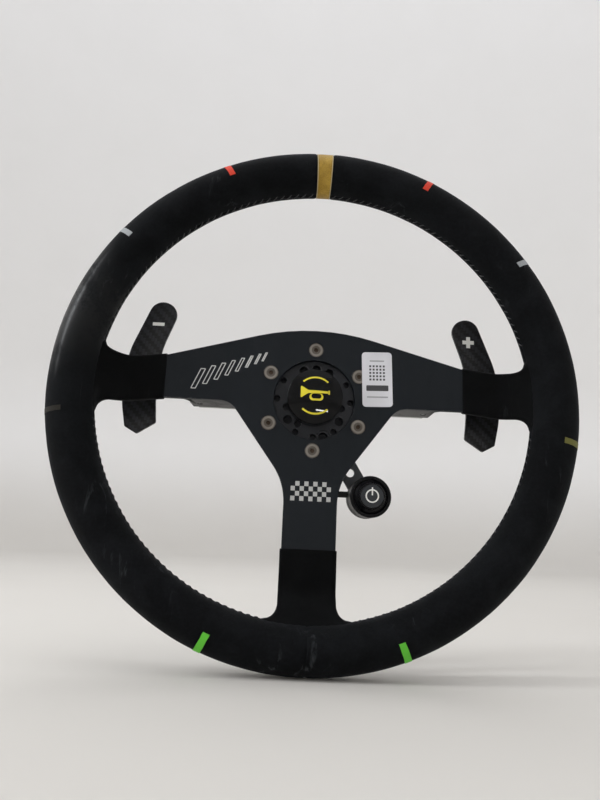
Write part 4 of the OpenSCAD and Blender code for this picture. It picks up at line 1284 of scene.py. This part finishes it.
# Name, angle round the wheel, width and lean in degrees of the wheel, end in degrees of the section, finish.
TAPES = [
    ("red_right", 64.3, 1.4, 0.4, 85, RED_TAPE),
    ("red_left", 113.3, 1.4, -0.5, 85, RED_TAPE),
    ("grey_right", 35.1, 1.3, 0.3, 80, GREY_TAPE),
    ("grey_left", 142, 1.3, 0, 80, GREY_TAPE),
    ("olive_right", -8.8, 1.3, 0.3, 85, OLIVE_TAPE),
    ("tan_left", -173.2, 1.1, 0, 85, TAN_TAPE),
    ("green_left", -111.9, 1.5, 0.6, 85, GREEN_TAPE),
    ("green_right", -69.3, 1.5, -0.5, 85, GREEN_TAPE),
]
for name, at, width, lean, to_turn, finish in TAPES:
    rim_tape("tape_" + name, at, width, to_turn, finish, lean)

spoke_wrap("wrap_sleeve_right", "wrap_right", WRAP_LOW.x, SIDE_LOW, WRAP_HIGH.y, to_right, 10, 8, ARM_FALL, 0.8)
spoke_wrap("wrap_sleeve_left", "wrap_left", WRAP_LOW.x, SIDE_LOW, WRAP_HIGH.y, to_left, 17, 8, ARM_FALL, 0.5)
spoke_wrap("wrap_sleeve_foot", "wrap_foot_spoke", -FOOT_HIGH.y, FOOT_LOW.x, FOOT_HIGH.x, to_foot, 10, 10)

speed_stripes()
chequer_strip()
asset_label()
horn_button()
horn_sign()
paddle_signs()
pod_housing()
pod_ring()
pod_push()
pod_lead()
coil_spring("horn_spring", 1.2, 6)
coil_spring("pod_spring", 1.0, 6)
coil_spring("qr_spring", 2.0, 4)

# Node, width of its rounded edges, finish, slot.
SOFTENED = [
    ("spoke_plate", 0.45, PLATE, "plate_anodised"),
    ("plate_screws", 0.18, SCREW_STEEL, "screw_steel"),
    ("hub", 0.35, HUB_ALU_PAINTED_LIGHT, "black_anodised"),
    ("shifter_carrier", 0.3, CARRIER_ALU, "silver_alu"),
    ("housing_left", 0.5, BLACK_ALU, "black_anodised"),
    ("housing_right", 0.5, BLACK_ALU, "black_anodised"),
    ("housing_screws", 0.12, DARK_STEEL, "screw_steel"),
    ("stop_screws", 0.12, DARK_STEEL, "screw_steel"),
    ("lever_left", 0.4, LEVER_ALU, "lever_alu"),
    ("lever_right", 0.4, LEVER_ALU, "lever_alu"),
    ("paddle_left", 0.35, CARBON, "carbon"),
    ("paddle_right", 0.35, CARBON, "carbon"),
    ("paddle_screws_left", 0.12, DARK_STEEL, "screw_steel"),
    ("paddle_screws_right", 0.12, DARK_STEEL, "screw_steel"),
    ("qr_body", 0.35, SILVER, "silver_alu"),
    ("qr_screws", 0.2, DARK_STEEL, "screw_steel"),
    ("qr_collar", 0.3, BLACK_ALU, "black_anodised"),
    ("qr_retaining_ring", 0.12, BRIGHT_STEEL, "spring_steel"),
    ("pod_arm", 0.25, POD_ARM_ALU_PAINTED_LIGHT, "black_anodised"),
    ("pod_arm_screws", 0.12, DARK_STEEL, "screw_steel"),
    ("pod_screw", 0.12, DARK_STEEL, "screw_steel"),
    ("pod_gland", 0.3, RUBBER, "cable_rubber"),
]
for node, width, finish, slot in SOFTENED:
    softened(node, width, finish, slot)

KEPT = {
    "rim_core": HOOP_ALU, "rim_foam": FOAM, "horn_body": BLACK_PLASTIC, "horn_snap_ring": BRIGHT_STEEL,
    "cap_contact": BRASS, "horn_contact": BRASS, "pivot_pins": BRIGHT_STEEL, "housing_magnets": NICKEL,
    "switch_boards": BOARD, "shift_switches": BLACK_PLASTIC, "plunger_left": BEIGE_PLASTIC,
    "plunger_right": BEIGE_PLASTIC, "lever_magnet_left": NICKEL, "lever_magnet_right": NICKEL,
    "pod_switch": BLACK_PLASTIC,
}
for i in range(1, 7):
    KEPT[f"ball_{i}"] = BRIGHT_STEEL
for node, finish in KEPT.items():
    finish_node(node, finish)
socket_floors()

# ---------------------------------------------------------------- Floor, light and camera

FLOOR_Z = CAD_BOX[0].z


def studio_floor():
    """Pale floor that sweeps up into a round wall."""
    flat_r, bend_r, wall_top = 2.2, 1, 4
    bend = [polar(a - 90, bend_r) for a in range(6, 91, 6)]
    profile = [(0, 0), (1.2, 0), (flat_r, 0)] + [(flat_r + p.x, bend_r + p.y) for p in bend]
    profile.append((flat_r + bend_r, wall_top))
    form = Form()
    rows = [form.row(hoop((0, 0), r, FLOOR_Z + z, 96)) for r, z in profile]
    form.skin(rows[::-1])
    mesh = bpy.data.meshes.new("studio_floor")
    mesh.from_pydata(form.points, [], form.faces)
    mesh.shade_smooth()
    paint = Finish("studio paint")
    tone = spots(paint.tree, paint.place, 3, 2, 0.5)
    height = add(paint.tree, "ShaderNodeSeparateXYZ", {0: paint.place}).outputs["Z"]
    floor = paint.mix(tone, (0.64, 0.615, 0.575), (0.675, 0.655, 0.615))
    wall = paint.mix(tone, (0.90, 0.89, 0.87), (0.93, 0.92, 0.905))
    paint.set("Base Color", paint.mix(paint.remap(height, FLOOR_Z, FLOOR_Z + 0.6), floor, wall))
    paint.set("Roughness", 0.8)
    mesh.materials.append(paint.material)
    floor = bpy.data.objects.new("studio_floor", mesh)
    bpy.context.scene.collection.objects.link(floor)


def soft_light(name, place, target, size, power, tint=(1, 1, 1)):
    """A rectangular lamp that looks at a target; the camera doesn't see it."""
    lamp = bpy.data.lights.new(name, "AREA")
    lamp.shape = "RECTANGLE"
    lamp.size, lamp.size_y = size
    lamp.energy = power
    lamp.color = tint
    holder = bpy.data.objects.new(name, lamp)
    holder.location = place
    holder.rotation_mode = "QUATERNION"
    holder.rotation_quaternion = (Vector(target) - Vector(place)).to_track_quat("-Z", "Y")
    holder.visible_camera = False
    bpy.context.scene.collection.objects.link(holder)
    return holder


def studio_light():
    """Panels above, to the left and behind, and a narrow lamp whose glint falls on the horn's dome alone."""
    wheel_middle = (0, -0.08, 0)
    soft_light("ceiling_panel", (-0.2, -0.1, 1.5), wheel_middle, (1.2, 0.7), 4, (1.0, 0.985, 0.96))
    soft_light("window_left", (-1.35, -0.5, 0.62), wheel_middle, (0.14, 0.9), 9, (0.94, 0.97, 1.0))
    glint = soft_light("dome_glint", (0.14, -0.50, -0.155), (0, -0.11, 0), (0.21, 0.022), 1.1)
    lit = bpy.data.collections.new("dome_only")
    lit.objects.link(bpy.data.objects["horn_dome"])
    glint.light_linking.receiver_collection = lit
    soft_light("back_panel", (0.5, 1.3, 1.2), wheel_middle, (1.2, 0.8), 2)
    world = bpy.data.worlds.new("studio air")
    world.use_nodes = True
    world.node_tree.nodes["Background"].inputs["Color"].default_value = (0.95, 0.96, 1.0, 1)
    world.node_tree.nodes["Background"].inputs["Strength"].default_value = 1.08
    bpy.context.scene.world = world


def camera():
    """Wide lens, a little below the wheel's axis and looking up at it."""
    lens = bpy.data.cameras.new("camera")
    lens.sensor_fit = "VERTICAL"
    lens.sensor_height = 36
    lens.lens = 29.25
    lens.clip_start = 0.01
    holder = bpy.data.objects.new("camera", lens)
    holder.location = (-0.0218, -0.5163, -0.0949)
    up, aside, roll = math.radians(12.3), math.radians(-1.61), math.radians(2.53)
    holder.matrix_world = (Matrix.Translation(holder.location) @ Matrix.Rotation(aside, 4, "Z")
                           @ Matrix.Rotation(math.radians(90) + up, 4, "X") @ Matrix.Rotation(roll, 4, "Z"))
    bpy.context.scene.collection.objects.link(holder)
    bpy.context.scene.camera = holder


studio_floor()
studio_light()
camera()
bpy.context.scene.view_settings.view_transform = "Standard"
bpy.context.scene.view_settings.look = "None"
